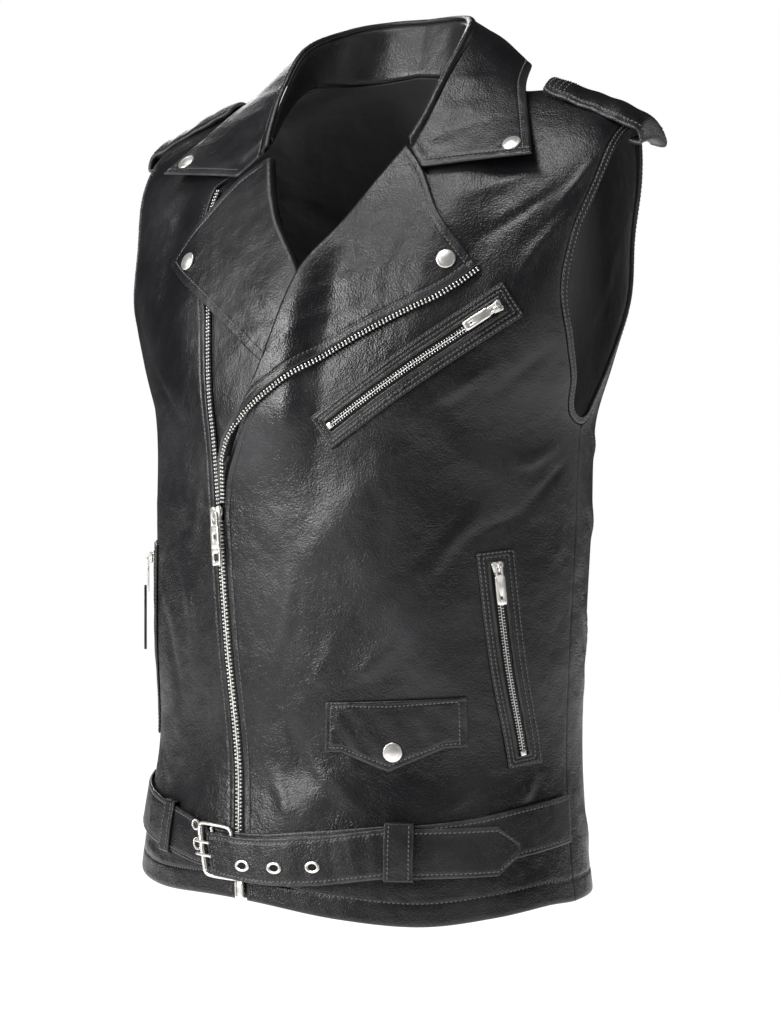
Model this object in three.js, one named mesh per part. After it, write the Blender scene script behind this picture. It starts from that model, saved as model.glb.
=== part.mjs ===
// A man's black leather biker vest, worn on an unseen figure. Sizes in mm.
// +X is the wearer's left, -Y the front, +Z up; the origin lies between the shoulder seams' neck ends.
import * as THREE from "three";

const leather = new THREE.MeshStandardMaterial({ color: 0x17181a, roughness: 0.5 });
const cloth = new THREE.MeshStandardMaterial({ color: 0x0d0d0e, roughness: 0.9 });
const metal = new THREE.MeshStandardMaterial({ color: 0xc9c7c0, roughness: 0.3, metalness: 1 });

const vest = new THREE.Group();
const V = (x, y, z) => new THREE.Vector3(x, y, z);

// Body form
const WALL = 2.4; // leather and facing together
const SEAM = 0.3; // gap between pieces that are sewn together
const SHOULDER_Y = 30; // the shoulder line runs above this depth
const CHEST_Z = -270; // height of the underarms
const HEM = { front: -640, side: -641, back: -648 };
// The fronts' hems hang below the straight line from zip to side: turn from the middle, mm down
const HEM_SAG = [[-90, 0], [-60, 2.5], [-34, 4], [-12, 0], [0, 0.5], [20, 6], [40, 8.5], [60, 3], [78, -1.5], [90, 0]];
const NECK_X = 75;
const SHOULDER_DROP = 0.352; // fall of the shoulder line per mm outwards
const SHOULDER_REACH = 240; // half width that the shoulder line is measured over
const ROUNDNESS = 2.1; // 2 is an ellipse, more is squarer
const SIDE_BACK = 8; // the side seam lies this far behind the middle
// height, half width, front depth, back depth
const SECTIONS = [
  [-656, 199, -155, 121],
  [-600, 192, -149, 117],
  [-533, 185, -138, 117],
  [-447, 188, -137, 115],
  [-346, 191, -134, 120],
  [-300, 192, -131, 119],
  [-270, 195.5, -130, 118],
  [-230, 210, -130, 118],
  [-181, 226, -130, 118],
  [-133, 230, -130, 118],
  [-90, 238, -130, 118],
  [-50, 241, -130, 118],
  [40, 246, -130, 118],
];

const lerp = (a, b, t) => a + (b - a) * t;
const clamp = (v, a, b) => Math.min(b, Math.max(a, v));
const smooth = (t) => { const u = clamp(t, 0, 1); return u * u * (3 - 2 * u); };
const hill = (v, middle, reach) => smooth(1 - Math.abs(v - middle) / reach);

// A smooth curve through rows of numbers, read by the rows' first column.
function curve(rows, key, column) {
  const n = rows.length;
  const slope = (i) => {
    const a = Math.max(i - 1, 0), b = Math.min(i + 1, n - 1);
    return (rows[b][column] - rows[a][column]) / (rows[b][0] - rows[a][0]);
  };
  const up = rows[n - 1][0] > rows[0][0] ? 1 : -1;
  const k = up > 0 ? clamp(key, rows[0][0], rows[n - 1][0]) : clamp(key, rows[n - 1][0], rows[0][0]);
  let i = 0;
  while (i < n - 2 && up * k > up * rows[i + 1][0]) i++;
  const h = rows[i + 1][0] - rows[i][0], t = (k - rows[i][0]) / h;
  const t2 = t * t, t3 = t2 * t;
  return (2 * t3 - 3 * t2 + 1) * rows[i][column] + (t3 - 2 * t2 + t) * h * slope(i) +
    (3 * t2 - 2 * t3) * rows[i + 1][column] + (t3 - t2) * h * slope(i + 1);
}
const halfWidth = (z) => curve(SECTIONS, z, 1);
const depth = (z, back) => curve(SECTIONS, z, back ? 3 : 2);
const sideY = (z) => (depth(z, false) + depth(z, true)) / 2 + SIDE_BACK;
// The shoulder line's rounding over the straight fall: height, its inner and outer ends by x, their slopes' widths,
// and how much sharper the front's section is there
const ROUND = { rise: 11, inner: 116, up: 46, outer: 240, down: 44, sharp: 0.25 };
const rounding = (x) => smooth((Math.abs(x) - ROUND.inner) / ROUND.up) * smooth((ROUND.outer - Math.abs(x)) / ROUND.down);
const shoulderZ = (x) => ROUND.rise * rounding(x) - (Math.hypot(x, 15) - NECK_X) * SHOULDER_DROP;
const bend = (v, power) => Math.sign(v) * Math.abs(v) ** power;

// Point of the leather's outer face: a is the turn from the middle of the front (or back), z the height.
function body(a, z, back = false) {
  const s = Math.sin(a), c = Math.cos(a), low = Math.min(z, CHEST_Z);
  const x = halfWidth(z) * bend(s, 2 / ROUNDNESS);
  const y = sideY(low) + (depth(low, back) - sideY(low)) * bend(Math.abs(c), 2 / ROUNDNESS);
  if (z <= CHEST_Z) return V(x, y, z);
  const line = SHOULDER_Y + (back ? SEAM : -SEAM) / 2;
  const rise = clamp((z - CHEST_Z) / (topAt(a) - CHEST_Z), 0, 1);
  const sharper = ROUND.sharp * rounding(SHOULDER_REACH * bend(s, 2 / ROUNDNESS));
  const power = back ? 2.6 - 0.2 * s * s : 1.45 + 0.95 * Math.abs(s) ** 2.5 - sharper;
  return V(x, line + (y - line) * (1 - rise ** power) ** (1 / power), z);
}
const turnAt = (x, z) => Math.sign(x) * Math.asin(clamp(Math.abs(x) / halfWidth(z), 0, 1) ** (ROUNDNESS / 2));
const topAt = (a) => shoulderZ(SHOULDER_REACH * bend(Math.sin(a), 2 / ROUNDNESS));

// Level of a height: 0 at the underarm, 1 on the shoulder line, negative below the underarm
const LEVEL = 361; // mm in one level below the underarm
const quarter = Math.PI / 2;
const heightAt = (a, v) => (v <= 0 ? CHEST_Z + v * LEVEL : lerp(CHEST_Z, topAt(a), Math.sin(Math.min(v, 1) * quarter)));
const levelAt = (a, z) => (z <= CHEST_Z ? (z - CHEST_Z) / LEVEL
  : Math.asin(clamp((z - CHEST_Z) / (topAt(a) - CHEST_Z), 0, 1)) / quarter);
const face = (a, v, back) => body(a, heightAt(a, v), back);

// The face's point moved out along its normal by h
function lift(a, v, h, back = false) {
  const e = 0.004, w = Math.min(v, 1 - e);
  const n = face(a + e, w, back).sub(face(a - e, w, back)).cross(face(a, w + e, back).sub(face(a, w - e, back))).normalize();
  if (back) n.negate();
  const p = face(a, v, back).addScaledVector(n, h);
  if (v > 0.97) p.y = back ? Math.max(p.y, SHOULDER_Y + SEAM / 2) : Math.min(p.y, SHOULDER_Y - SEAM / 2);
  return p;
}
const at = (x, z, h) => lift(turnAt(x, z), levelAt(turnAt(x, z), z), h);

// Folds of the worn leather: x, z of the middle, length, width, lean from upright, height (mm, degrees)
const FOLDS = [
  [60, -345, 120, 22, 38, 2.2],
  [-95, -330, 110, 20, -20, 1.8],
  [110, -430, 130, 24, -28, 2.0],
  [40, -560, 90, 20, 55, 1.8],
  [-110, -520, 120, 20, 25, 2.0],
  [150, -300, 90, 18, -50, 1.6],
];
function folds(x, z) {
  const still = smooth((Math.abs(x - (z < -300 ? zipX(z) : -53)) - 8) / 34) * smooth((1.5 - Math.abs(turnAt(x, z))) / 0.3);
  let h = 0;
  for (const [fx, fz, length, width, lean, height] of FOLDS) {
    const r = (lean * Math.PI) / 180, dx = x - fx, dz = z - fz;
    const along = dx * Math.sin(r) + dz * Math.cos(r), across = dx * Math.cos(r) - dz * Math.sin(r);
    h += height * Math.exp(-((along / length) ** 2) * 4 - ((across / width) ** 2) * 2);
  }
  return h * still * smooth((-150 - z) / 60);
}
// The left front stands off where it passes over the right lapel.
const overlap = (x, z) => 8.4 * smooth((z + 338) / 80) * smooth((-100 - z) / 62) * smooth((44 - x) / 32);
const skin = (x, z) => folds(x, z) + (x > -54 ? overlap(x, z) : 0);

// Solids
function solid(name, points, faces, material) {
  let volume = 0;
  for (const [i, j, k] of faces) volume += points[i].dot(points[j].clone().cross(points[k]));
  const order = volume > 0 ? faces : faces.map(([i, j, k]) => [i, k, j]);
  const geometry = new THREE.BufferGeometry();
  geometry.setAttribute("position", new THREE.Float32BufferAttribute(points.flatMap((p) => [p.x, p.y, p.z]), 3));
  geometry.setIndex(order.flat());
  geometry.computeVertexNormals();
  const mesh = new THREE.Mesh(geometry, material);
  mesh.name = name;
  vest.add(mesh);
}

// A wall between two grids: face(u, v, side) gives a point, side 1 is the outside and 0 the inside.
function wall(name, columns, rows, face, material = leather) {
  const points = [], faces = [], n = (columns + 1) * (rows + 1);
  for (const side of [1, 0])
    for (let j = 0; j <= rows; j++)
      for (let i = 0; i <= columns; i++) points.push(face(i / columns, j / rows, side));
  const id = (i, j, side) => (side ? 0 : n) + j * (columns + 1) + i;
  const quad = (a, b, c, d) => faces.push([a, b, c], [a, c, d]);
  for (let j = 0; j < rows; j++)
    for (let i = 0; i < columns; i++) {
      quad(id(i, j, 1), id(i + 1, j, 1), id(i + 1, j + 1, 1), id(i, j + 1, 1));
      quad(id(i, j, 0), id(i, j + 1, 0), id(i + 1, j + 1, 0), id(i + 1, j, 0));
    }
  for (let i = 0; i < columns; i++) {
    quad(id(i, 0, 0), id(i + 1, 0, 0), id(i + 1, 0, 1), id(i, 0, 1));
    quad(id(i, rows, 1), id(i + 1, rows, 1), id(i + 1, rows, 0), id(i, rows, 0));
  }
  for (let j = 0; j < rows; j++) {
    quad(id(0, j, 1), id(0, j + 1, 1), id(0, j + 1, 0), id(0, j, 0));
    quad(id(columns, j, 0), id(columns, j + 1, 0), id(columns, j + 1, 1), id(columns, j, 1));
  }
  solid(name, points, faces, material);
}

// Rings of points joined one to the next; the ends are capped unless the row of rings closes.
function rings(name, list, closed, material) {
  const points = list.flat(), faces = [], m = list[0].length, n = list.length;
  for (let j = 0; j < (closed ? n : n - 1); j++)
    for (let i = 0; i < m; i++) {
      const a = j * m + i, b = j * m + ((i + 1) % m), c = ((j + 1) % n) * m + ((i + 1) % m), d = ((j + 1) % n) * m + i;
      faces.push([a, b, c], [a, c, d]);
    }
  if (!closed)
    for (let i = 1; i < m - 1; i++) faces.push([0, i + 1, i], [(n - 1) * m, (n - 1) * m + i, (n - 1) * m + i + 1]);
  solid(name, points, faces, material);
}

// A place on the front by x, z and height h, with the direction along (dx, dz) and across it.
function frameOn(x, z, h, dx, dz) {
  const p = at(x, z, h), n = at(x, z, h + 1).sub(p).normalize();
  const t = at(x + dx, z + dz, h).sub(at(x - dx, z - dz, h)).normalize();
  const b = n.clone().cross(t).normalize();
  return { p, n, t: b.clone().cross(n).normalize(), b };
}
const put = (f, along, across, up) =>
  f.p.clone().addScaledVector(f.t, along).addScaledVector(f.b, across).addScaledVector(f.n, up);

// Lines of the pattern, in x and z on the front
const HALF_TAPE = 4.6; // from the middle of the zip to the leather's edge
const ZIP = [[-652, -12.6], [-633, -15], [-575, -23.7], [-486, -36.5], [-415, -45.5], [-346, -53]]; // z, x
const RIGHT_TAPE = [[-346, -53], [-300, -60], [-258, -67.5], [-187, -83], [-140, -99], [-110, -110], [-92, -111.5], [-80, -108.5]]; // z, x
const zipX = (z) => curve(z < -346 ? ZIP : RIGHT_TAPE, z, 1);
// Edge of the left front above the slider: the teeth's line, then the roll line and the neck
const LEFT_EDGE = [[-346, -50.5], [-322, -48.5], [-297, -40], [-257, -18], [-226, -6], [-166, 10], [-113, 40], [-62, 68]];
const NECK_END = { x: 76.5, z: -1.2 };
// Rows of the right lapel's roll line: z, x
const RIGHT_ROLL = [[-234, 13.5], [-200, 12.5], [-166, 8], [-113, -35], [-62, -65]];
const SLIDER_Z = -352;

// Armhole: finished edge by k from the underarm (0) to the shoulder (1)
const BINDING = 5.5;
// k, level, turn of the front edge, turn of the back edge (degrees)
const ARMHOLE = [
  [0, 0, 90, 90],
  [0.07, 0.005, 86.3, 87.4],
  [0.15, 0.034, 83.3, 85.2],
  [0.27, 0.092, 80.6, 82.6],
  [0.4, 0.175, 74.2, 79.4],
  [0.53, 0.275, 67.3, 76],
  [0.68, 0.41, 67.6, 73.4],
  [0.84, 0.62, 69.6, 71.2],
  [1, 1, 69.6, 69.6],
];
const armhole = (k, back) => ({ a: (curve(ARMHOLE, k, back ? 3 : 2) * Math.PI) / 180, v: clamp(curve(ARMHOLE, k, 1), 0, 1) });
// The armhole's line moved into the panel by 'distance'
function armLine(k, back, distance) {
  const straight = { a: quarter, v: -distance / LEVEL };
  if (k <= 0) return straight;
  const step = 0.02, e = 0.004, { a, v } = armhole(k, back);
  const w = clamp(v, e, 1 - e);
  const before = armhole(Math.max(k - step, 0), back), after = armhole(Math.min(k + step, 1), back);
  const along = face(after.a, after.v, back).sub(face(before.a, before.v, back)).normalize();
  const da = face(a + e, w, back).sub(face(a - e, w, back)).divideScalar(2 * e);
  const dv = face(a, w + e, back).sub(face(a, w - e, back)).divideScalar(2 * e);
  const into = along.clone().cross(da.clone().cross(dv)).normalize();
  if (into.dot(da) > 0) into.negate();
  const aa = da.dot(da), av = da.dot(dv), vv = dv.dot(dv), ga = into.dot(da), gv = into.dot(dv), det = aa * vv - av * av;
  const moved = { a: a + (distance * (ga * vv - gv * av)) / det, v: v + (distance * (gv * aa - ga * av)) / det };
  const top = smooth((k - 0.9) / 0.1);
  const low = smooth(k / 0.12);
  return { a: lerp(straight.a, moved.a, low), v: lerp(lerp(straight.v, moved.v, low), v, top) };
}

// Panels: rows run from the hem (0) past the underarm (SPLIT) to the shoulder (1).
const LOW_ROWS = 10, ARM_ROWS = 15, ROWS = LOW_ROWS + ARM_ROWS, SPLIT = LOW_ROWS / ROWS;
const SIDE_SEAM = Math.PI / 2 - SEAM / 2 / 105;
function outerEnd(r, sign, back) {
  if (r <= SPLIT + 1e-9) {
    const hem = levelAt(SIDE_SEAM, HEM.side);
    return { a: sign * SIDE_SEAM, v: lerp(hem, armLine(0, back, BINDING + SEAM + 0.5).v, r / SPLIT) };
  }
  const k = (r - SPLIT) / (1 - SPLIT);
  const { a, v } = armLine(k, back, BINDING + SEAM + 0.5 * (1 - smooth(k / 0.2)));
  return { a: sign * Math.min(a, SIDE_SEAM), v };
}
function frontPoint(inner, outer, u, r, side) {
  const a = lerp(inner.a, outer.a, u), low = Math.max(0, 1 - r / SPLIT);
  const v = lerp(inner.v, outer.v, u) - (low * curve(HEM_SAG, (a * 180) / Math.PI, 1)) / LEVEL;
  const p = face(a, v, false), h = skin(p.x, p.z);
  return lift(a, v, side ? h : h - WALL);
}
// Inner boundary of a front: the edge rows, then the neck's edge up to the shoulder
function innerEnd(r, edge) {
  const { x, z } = edge(r), a = turnAt(x, z);
  return { a, v: r > 1 - 1e-9 ? 1 : levelAt(a, z) };
}
const NECK_SHARE = 0.9; // rows above this run along the neck
function leftEdge(r) {
  if (r <= NECK_SHARE) {
    const z = r < SPLIT ? lerp(HEM.front, -275, r / SPLIT) : lerp(-275, -66, (r - SPLIT) / (NECK_SHARE - SPLIT));
    if (z < SLIDER_Z) return { x: zipX(z) + HALF_TAPE, z };
    return { x: curve(LEFT_EDGE, z, 1) + lerp(2.4, 4.6, smooth((z + 325) / 30)) + 3 * smooth((z + 100) / 30), z };
  }
  const t = (r - NECK_SHARE) / (1 - NECK_SHARE);
  return { x: lerp(76, NECK_END.x, t), z: lerp(-62, NECK_END.z, t ** 0.8) };
}
function rightEdge(r) {
  const high = 0.84;
  if (r <= high) {
    const z = r < SPLIT ? lerp(HEM.front, -275, r / SPLIT) : lerp(-275, -86, (r - SPLIT) / (high - SPLIT));
    return { x: zipX(z) - HALF_TAPE - 1.4 * smooth((z + 205) / 30), z };
  }
  if (r <= 0.92) {
    const t = (r - high) / (0.92 - high);
    return { x: lerp(zipX(-86) - HALF_TAPE - 1.4, -73, t), z: lerp(-86, -58, t) };
  }
  const t = (r - 0.92) / 0.08;
  return { x: lerp(-73, -NECK_END.x, t), z: lerp(-58, NECK_END.z, t ** 0.8) };
}
wall("front_left", 14, ROWS, (u, r, side) => frontPoint(innerEnd(r, leftEdge), outerEnd(r, 1, false), u, r, side));
wall("front_right", 9, ROWS, (u, r, side) => frontPoint(innerEnd(r, rightEdge), outerEnd(r, -1, false), u, r, side));

// Back: one panel from side seam to side seam
const BACK_NECK_DIP = 0.205; // the middle of the back neck lies this many levels below the shoulder line
// Level of the back's top edge at x: the shoulder line, then the round of the neck
const backTop = (x) => 1 - BACK_NECK_DIP * Math.max(0, 1 - (x / NECK_X) ** 2) ** 0.62;
wall("back", 24, ROWS, (u, r, side) => {
  const s = u * 2 - 1, end = outerEnd(r, 1, true), a = lerp(s, s ** 3, 0.44) * end.a;
  const hem = levelAt(a, lerp(HEM.side, HEM.back, Math.cos(a) ** 2)), low = outerEnd(0, 1, true).v;
  const v = lerp(hem, backTop(face(a, 0.9, true).x), (end.v - low) / (1 - low));
  return lift(a, v, side ? 0 : -WALL, true);
});

// Underlap: carries on from the right tape under the left front, up to the right lapel's roll line
const UNDER = 3.5; // depth of its outer face below the fronts' outer face
const UNDERLAP_EDGE = [[-652, 30], [-520, 22], [-346, 8], [-280, 12], [-234, 10]];
wall("underlap_right", 5, 22, (u, v, side) => {
  const split = 0.7;
  const zl = lerp(HEM.front + 1, -84, v), left = { x: zipX(zl) - HALF_TAPE - 8, z: zl };
  let right;
  if (v < split) {
    const z = lerp(HEM.front + 1, -234, v / split);
    right = { x: curve(UNDERLAP_EDGE, z, 1), z };
  } else {
    const z = lerp(-234, -66, (v - split) / (1 - split));
    right = { x: curve(RIGHT_ROLL, z, 1) - 4, z: z - 2 };
  }
  const x = lerp(left.x, right.x, u), z = lerp(left.z, right.z, u);
  return at(x, z, side ? -UNDER : -UNDER - 2);
});

// Lapels: a turn round the roll line, then a leaf that lies over the front.
// roll: rows of the roll line; out: rows of the outer edge; top: from roll to notch to tip
const pick = (rows, t) => {
  const k = clamp(t, 0, 1) * (rows.length - 1), i = Math.min(Math.floor(k), rows.length - 2);
  return rows[i].map((value, c) => lerp(value, rows[i + 1][c], k - i));
};
function resample(rows, steps) {
  const reach = [0];
  for (let i = 1; i < rows.length; i++) reach.push(reach[i - 1] + Math.hypot(rows[i][0] - rows[i - 1][0], rows[i][1] - rows[i - 1][1]));
  const total = reach[reach.length - 1], keyed = rows.map((row, i) => [reach[i] / total, ...row]);
  return Array.from({ length: steps + 1 }, (_, i) => [curve(keyed, i / steps, 1), curve(keyed, i / steps, 2)]);
}
const LAPEL_LEFT = {
  roll: resample([[-41, -300], [-30, -279], [-18, -257], [-6, -226], [10, -166], [40, -113], [67, -64]], 24),
  out: resample([[-43.5, -306], [-25.6, -271], [19, -236.5], [61, -211], [100.5, -190], [130, -174.5], [149, -157.5]], 24),
  top: resample([[67, -64], [88, -83], [113, -117], [149, -157.5]], 12),
  start: -1.2, turn: 2.9, edge: 3.0, thick: 2.8, base: overlap,
};
const LAPEL_RIGHT = {
  roll: resample([[13.5, -230], [12.5, -200], [8, -166], [-35, -113], [-63, -66]], 24),
  out: resample([[11, -244], [-19, -226], [-60, -200], [-94, -179], [-143.5, -151]], 24),
  top: resample([[-63, -66], [-88, -82], [-112, -111], [-143.5, -151]], 12),
  start: -4.5, turn: 3.5, edge: 3.1, thick: 2.8, base: () => 0,
};
// Point of a lapel: w from 0 at its root to 1 at its outer edge, t along the roll, h from its middle layer
function lapelPoint(L, w, t, h) {
  const foldShare = 0.3;
  const [rx, rz] = pick(L.roll, t), [ox, oz] = pick(L.out, t);
  const reach = Math.hypot(ox - rx, oz - rz);
  const turn = Math.min(L.turn, reach * 0.28);
  let e, y;
  const rise = L.start + 2 * turn;
  if (w < foldShare) {
    const f = (w / foldShare) * Math.PI;
    e = turn - (turn + h) * Math.sin(f);
    y = L.start + turn - (turn + h) * Math.cos(f);
  } else {
    const q = (w - foldShare) / (1 - foldShare);
    e = lerp(turn, reach, q);
    y = lerp(rise, L.edge, smooth(q * 1.15)) + h;
  }
  const q = clamp(e / reach, 0, 1);
  const [tx, tz] = pick(L.top, q), [ex, ez] = pick(L.roll, 1), [gx, gz] = pick(L.out, 1);
  const pull = t ** 3;
  const x = rx + ((ox - rx) * e) / reach + pull * (tx - lerp(ex, gx, q));
  const z = rz + ((oz - rz) * e) / reach + pull * (tz - lerp(ez, gz, q));
  return at(x, z, y + L.base(x, z));
}
for (const [name, L] of [["lapel_left", LAPEL_LEFT], ["lapel_right", LAPEL_RIGHT]])
  wall(name, 11, 13, (u, v, side) => lapelPoint(L, u < 0.45 ? (u / 0.45) * 0.3 : 0.3 + ((u - 0.45) / 0.55) * 0.7, v, side ? L.thick / 2 : -L.thick / 2));

// Neckline and collar, by s from -1 (right front end) through 0 (middle of the back) to 1 (left front end)
// s, neckline x y z, fold x y z, outer edge x y z
const COLLAR = [
  [0, 0, 67.8, 5.6, 0, 84, 53, 0, 117, -6],
  [0.2, 31, 64.4, 2.6, 34, 78, 52.5, 50, 108, -4],
  [0.38, 55, 54, 1.2, 60, 55, 46, 92, 84, 3],
  [0.55, 73.6, 31, -0.4, 79, 19, 29, 121, 48, 4],
  [0.72, 74.8, -3, -18, 79, -12, -6, 138, 12, -16],
  [0.87, 74.3, -25, -41, 75.5, -33, -37, 159, -18, -46],
  [1, 70.5, -44, -62, 71, -45.5, -55.5, 178, -45, -73],
];
const collarRow = (s, c) => curve(COLLAR, Math.abs(s), c);
const collarPoint = (s, c) => V((s < 0 ? -1 : 1) * collarRow(s, c), collarRow(s, c + 1), collarRow(s, c + 2));
const TURN = 2.6, TURN_SHARE = 0.16; // radius of the fold, and its share of the way from root to outer edge
function collarFrame(s) {
  const fold = collarPoint(s, 4), neck = collarPoint(s, 1), edge = collarPoint(s, 7);
  const stand = fold.clone().sub(neck), high = smooth(stand.length() / 30), out = edge.clone().sub(fold);
  return { fold, neck, edge, high, stand: stand.normalize(), flat: V(out.x, out.y, 0).normalize() };
}
// Middle layer of the fall: a turn over the fold, then a leaf bowed outwards
function fallBase(s, t) {
  const { fold, edge, high, stand, flat } = collarFrame(s);
  const f = Math.min(t / TURN_SHARE, 1) * Math.PI;
  const p = fold.clone().addScaledVector(flat, -TURN * Math.cos(f))
    .addScaledVector(stand, TURN * Math.sin(f) * lerp(0.6, 1, high) - 2.4 * high);
  if (t <= TURN_SHARE) return p;
  const q = (t - TURN_SHARE) / (1 - TURN_SHARE), bow = 8 * high * Math.sin(q * Math.PI) * (1 - q * 0.4);
  return p.lerp(edge, q).addScaledVector(flat, bow * 0.55).addScaledVector(V(0, 0, 1), bow * 0.55);
}
// The fall's end edge follows the lapel's top edge down to the notch, then leaves it for the tip.
// share of the way to the outer edge, x, y, z
const GORGE = [[TURN_SHARE, 71.2, -49.8, -63.2], [0.26, 88.7, -59, -80]];
function fallMiddle(s, t) {
  const sign = s < 0 ? -1 : 1, near = smooth((Math.abs(s) - 0.74) / 0.26);
  const p = fallBase(s, t);
  if (near === 0) return p;
  const [bend1, bend2] = GORGE.map(([share, x, y, z]) => V(sign * x, y, z).sub(fallBase(sign, share)));
  const pull = t < GORGE[0][0] ? bend1.multiplyScalar(t / GORGE[0][0])
    : t < GORGE[1][0] ? bend1.lerp(bend2, (t - GORGE[0][0]) / (GORGE[1][0] - GORGE[0][0]))
      : bend2.multiplyScalar((1 - t) / (1 - GORGE[1][0]));
  return p.addScaledVector(pull, near);
}
function offset(middle, s, t, h, low = -1) {
  const e = 0.006;
  const du = middle(clamp(s + e, low, 1), t).sub(middle(clamp(s - e, low, 1), t));
  const dv = middle(s, clamp(t + e, 0, 1)).sub(middle(s, clamp(t - e, 0, 1)));
  return middle(s, t).addScaledVector(du.cross(dv).normalize(), h);
}
wall("collar_fall", 32, 10, (u, v, side) => offset(fallMiddle, u * 2 - 1, v < 0.5 ? v * 0.4 : 0.2 + (v - 0.5) * 1.6, side ? 1.3 : -1.3));
wall("collar_stand", 30, 2, (u, v, side) => {
  const middle = (s, t) => {
    const { fold, neck, high, stand, flat } = collarFrame(s);
    const root = fold.addScaledVector(flat, -TURN).addScaledVector(stand, -2.4 * high - 2 * SEAM);
    return neck.lerp(root, t);
  };
  return offset(middle, (u * 2 - 1) * (15 / 16), v, side ? 1.1 : -1.1);
});

// Armhole bindings: a band round the finished edge
const BAND = [[-0.5, -0.3], [-0.38, -0.5], [0.38, -0.5], [0.5, -0.3], [0.5, 0.3], [0.38, 0.5], [-0.38, 0.5], [-0.5, 0.3]];
const armholeMiddle = (j) => {
  const back = j > ARM_ROWS, k = back ? (2 * ARM_ROWS - j) / ARM_ROWS : j / ARM_ROWS;
  return { ...armLine(k, back, BINDING / 2), back };
};
for (const [side, sign] of [["left", 1], ["right", -1]]) {
  const count = 2 * ARM_ROWS;
  const middle = Array.from({ length: count }, (_, j) => {
    const { a, v, back } = armholeMiddle(j);
    const p = lift(sign * a, v, -WALL / 2, back);
    if (j === 0 || j === ARM_ROWS) p.y = j ? SHOULDER_Y : lerp(p.y, lift(sign * a, v, -WALL / 2, !back).y, 0.5);
    return { p, n: lift(sign * a, v, 3, back).sub(lift(sign * a, v, 0, back)).normalize() };
  });
  rings("armhole_binding_" + side, middle.map(({ p, n }, j) => {
    const along = middle[(j + 1) % count].p.clone().sub(middle[(j + count - 1) % count].p).normalize();
    const across = along.clone().cross(n).normalize(), m = across.clone().cross(along).normalize();
    return BAND.map(([x, y]) => p.clone().addScaledVector(across, x * BINDING).addScaledVector(m, y * (WALL + 1.2)));
  }), true, leather);
}

// Epaulettes: raised straps along the shoulder seams, free at the neck end, turned under into the armhole
// share along, x, z, half width, fall of the side edges below the middle
const EPAULETTE = [
  [0, 153, -9.5, 18, 10],
  [0.07, 160, -12, 19.5, 11],
  [0.3, 183, -20, 20.5, 12.5],
  [0.55, 207, -29.3, 21, 12.8],
  [0.72, 223, -36.5, 21, 13],
  [0.83, 232.5, -41.6, 21, 11],
  [0.9, 237.5, -47.5, 20.5, 9],
  [0.95, 239, -58.6, 20, 6],
  [1, 227.4, -57.2, 19, 5],
];
const STRAP = 3; // thickness
for (const [side, sign] of [["left", 1], ["right", -1]]) {
  const middle = (s, t) => {
    const share = t * 2 - 1, [x, z, half, fall] = [1, 2, 3, 4].map((column) => curve(EPAULETTE, s, column));
    return V(sign * x, SHOULDER_Y + share * half, z - fall * share * share);
  };
  const rows = [0, 0.07, 0.18, 0.3, 0.43, 0.55, 0.66, 0.76, 0.83, 0.88, 0.92, 0.96, 1];
  wall("epaulette_" + side, rows.length - 1, 6, (u, v, face) =>
    offset(middle, rows[Math.round(u * (rows.length - 1))], v, sign * (face ? STRAP / 2 : -STRAP / 2), 0));
}

// Zip tapes and chains; the left ones leave the closed line at the slider and follow the lapel's edge.
const CHAIN = 2.9, CHAIN_GAP = 0.1;
// Stations of a line: { x, z, h, out } with out the direction towards the teeth's own leather
function strip(name, stations, near, far, low, high, material) {
  const list = stations.map((q, i) => {
    const a = stations[Math.max(i - 1, 0)], b = stations[Math.min(i + 1, stations.length - 1)];
    const f = frameOn(q.x, q.z, q.h, (b.x - a.x) / 20, (b.z - a.z) / 20);
    return [[near, low], [far, low], [far, high], [near, high]].map(([across, up]) => put(f, 0, across * q.side, up));
  });
  rings(name, list, false, material);
}
const closed = Array.from({ length: 12 }, (_, i) => {
  const z = lerp(-637, SLIDER_Z + 1, i / 11);
  return { x: zipX(z), z, h: 0 };
});
const openRight = Array.from({ length: 15 }, (_, i) => {
  const z = lerp(SLIDER_Z + 10, -89, i / 14);
  return { x: zipX(z), z, h: 0 };
});
const leftTeeth = resample([[-49.9, -338], [-49.4, -322], [-48.3, -308], [-31.6, -278.8], [16.2, -241.3], [59.5, -214.4], [99.4, -192.8], [128.6, -177.8], [151, -159.5]], 17)
  .map(([x, z]) => ({ x, z, h: overlap(x, z) + lerp(0, LAPEL_LEFT.edge, smooth((z + 335) / 50)) }));
const sided = (stations, side) => stations.map((q) => ({ ...q, side }));
strip("zip_tape_right", sided([...closed, ...openRight], 1), CHAIN_GAP, HALF_TAPE - SEAM, -2.7, -1.9, cloth);
strip("zip_tape_left", sided([...closed], -1), CHAIN_GAP, HALF_TAPE - SEAM, -2.7, -1.9, cloth);
strip("zip_chain_right", sided(closed, 1), CHAIN_GAP, CHAIN, -1.6, 1.1, metal);
strip("zip_chain_left", sided(closed, -1), CHAIN_GAP, CHAIN, -1.6, 1.1, metal);
strip("zip_chain_open_right", sided(openRight, 1), -1, CHAIN - 1, -1.6, 1.1, metal);
strip("zip_chain_open_left", sided(leftTeeth, 1), -1.4, 1.4, -1.2, 1.4, metal);

// A slider and its pull tab: body by rows, tab with a window, both in the place's own frame
function box(name, f, [x0, x1], [y0, y1], [z0, z1], material, taper = 1) {
  const ring = (x, k) => [[y0 * k, z0], [y1 * k, z0], [y1 * k, z1], [y0 * k, z1]].map(([y, z]) => put(f, x, y, z));
  rings(name, [ring(x0, 1), ring((x0 + x1) / 2, 1), ring(x1, taper)], false, material);
}
// A flat outline in the frame's plane, given thickness
function plate(name, f, outline, low, high, material) {
  rings(name, [low, high].map((up) => outline.map(([x, y]) => put(f, x, y, up))), false, material);
}
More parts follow.
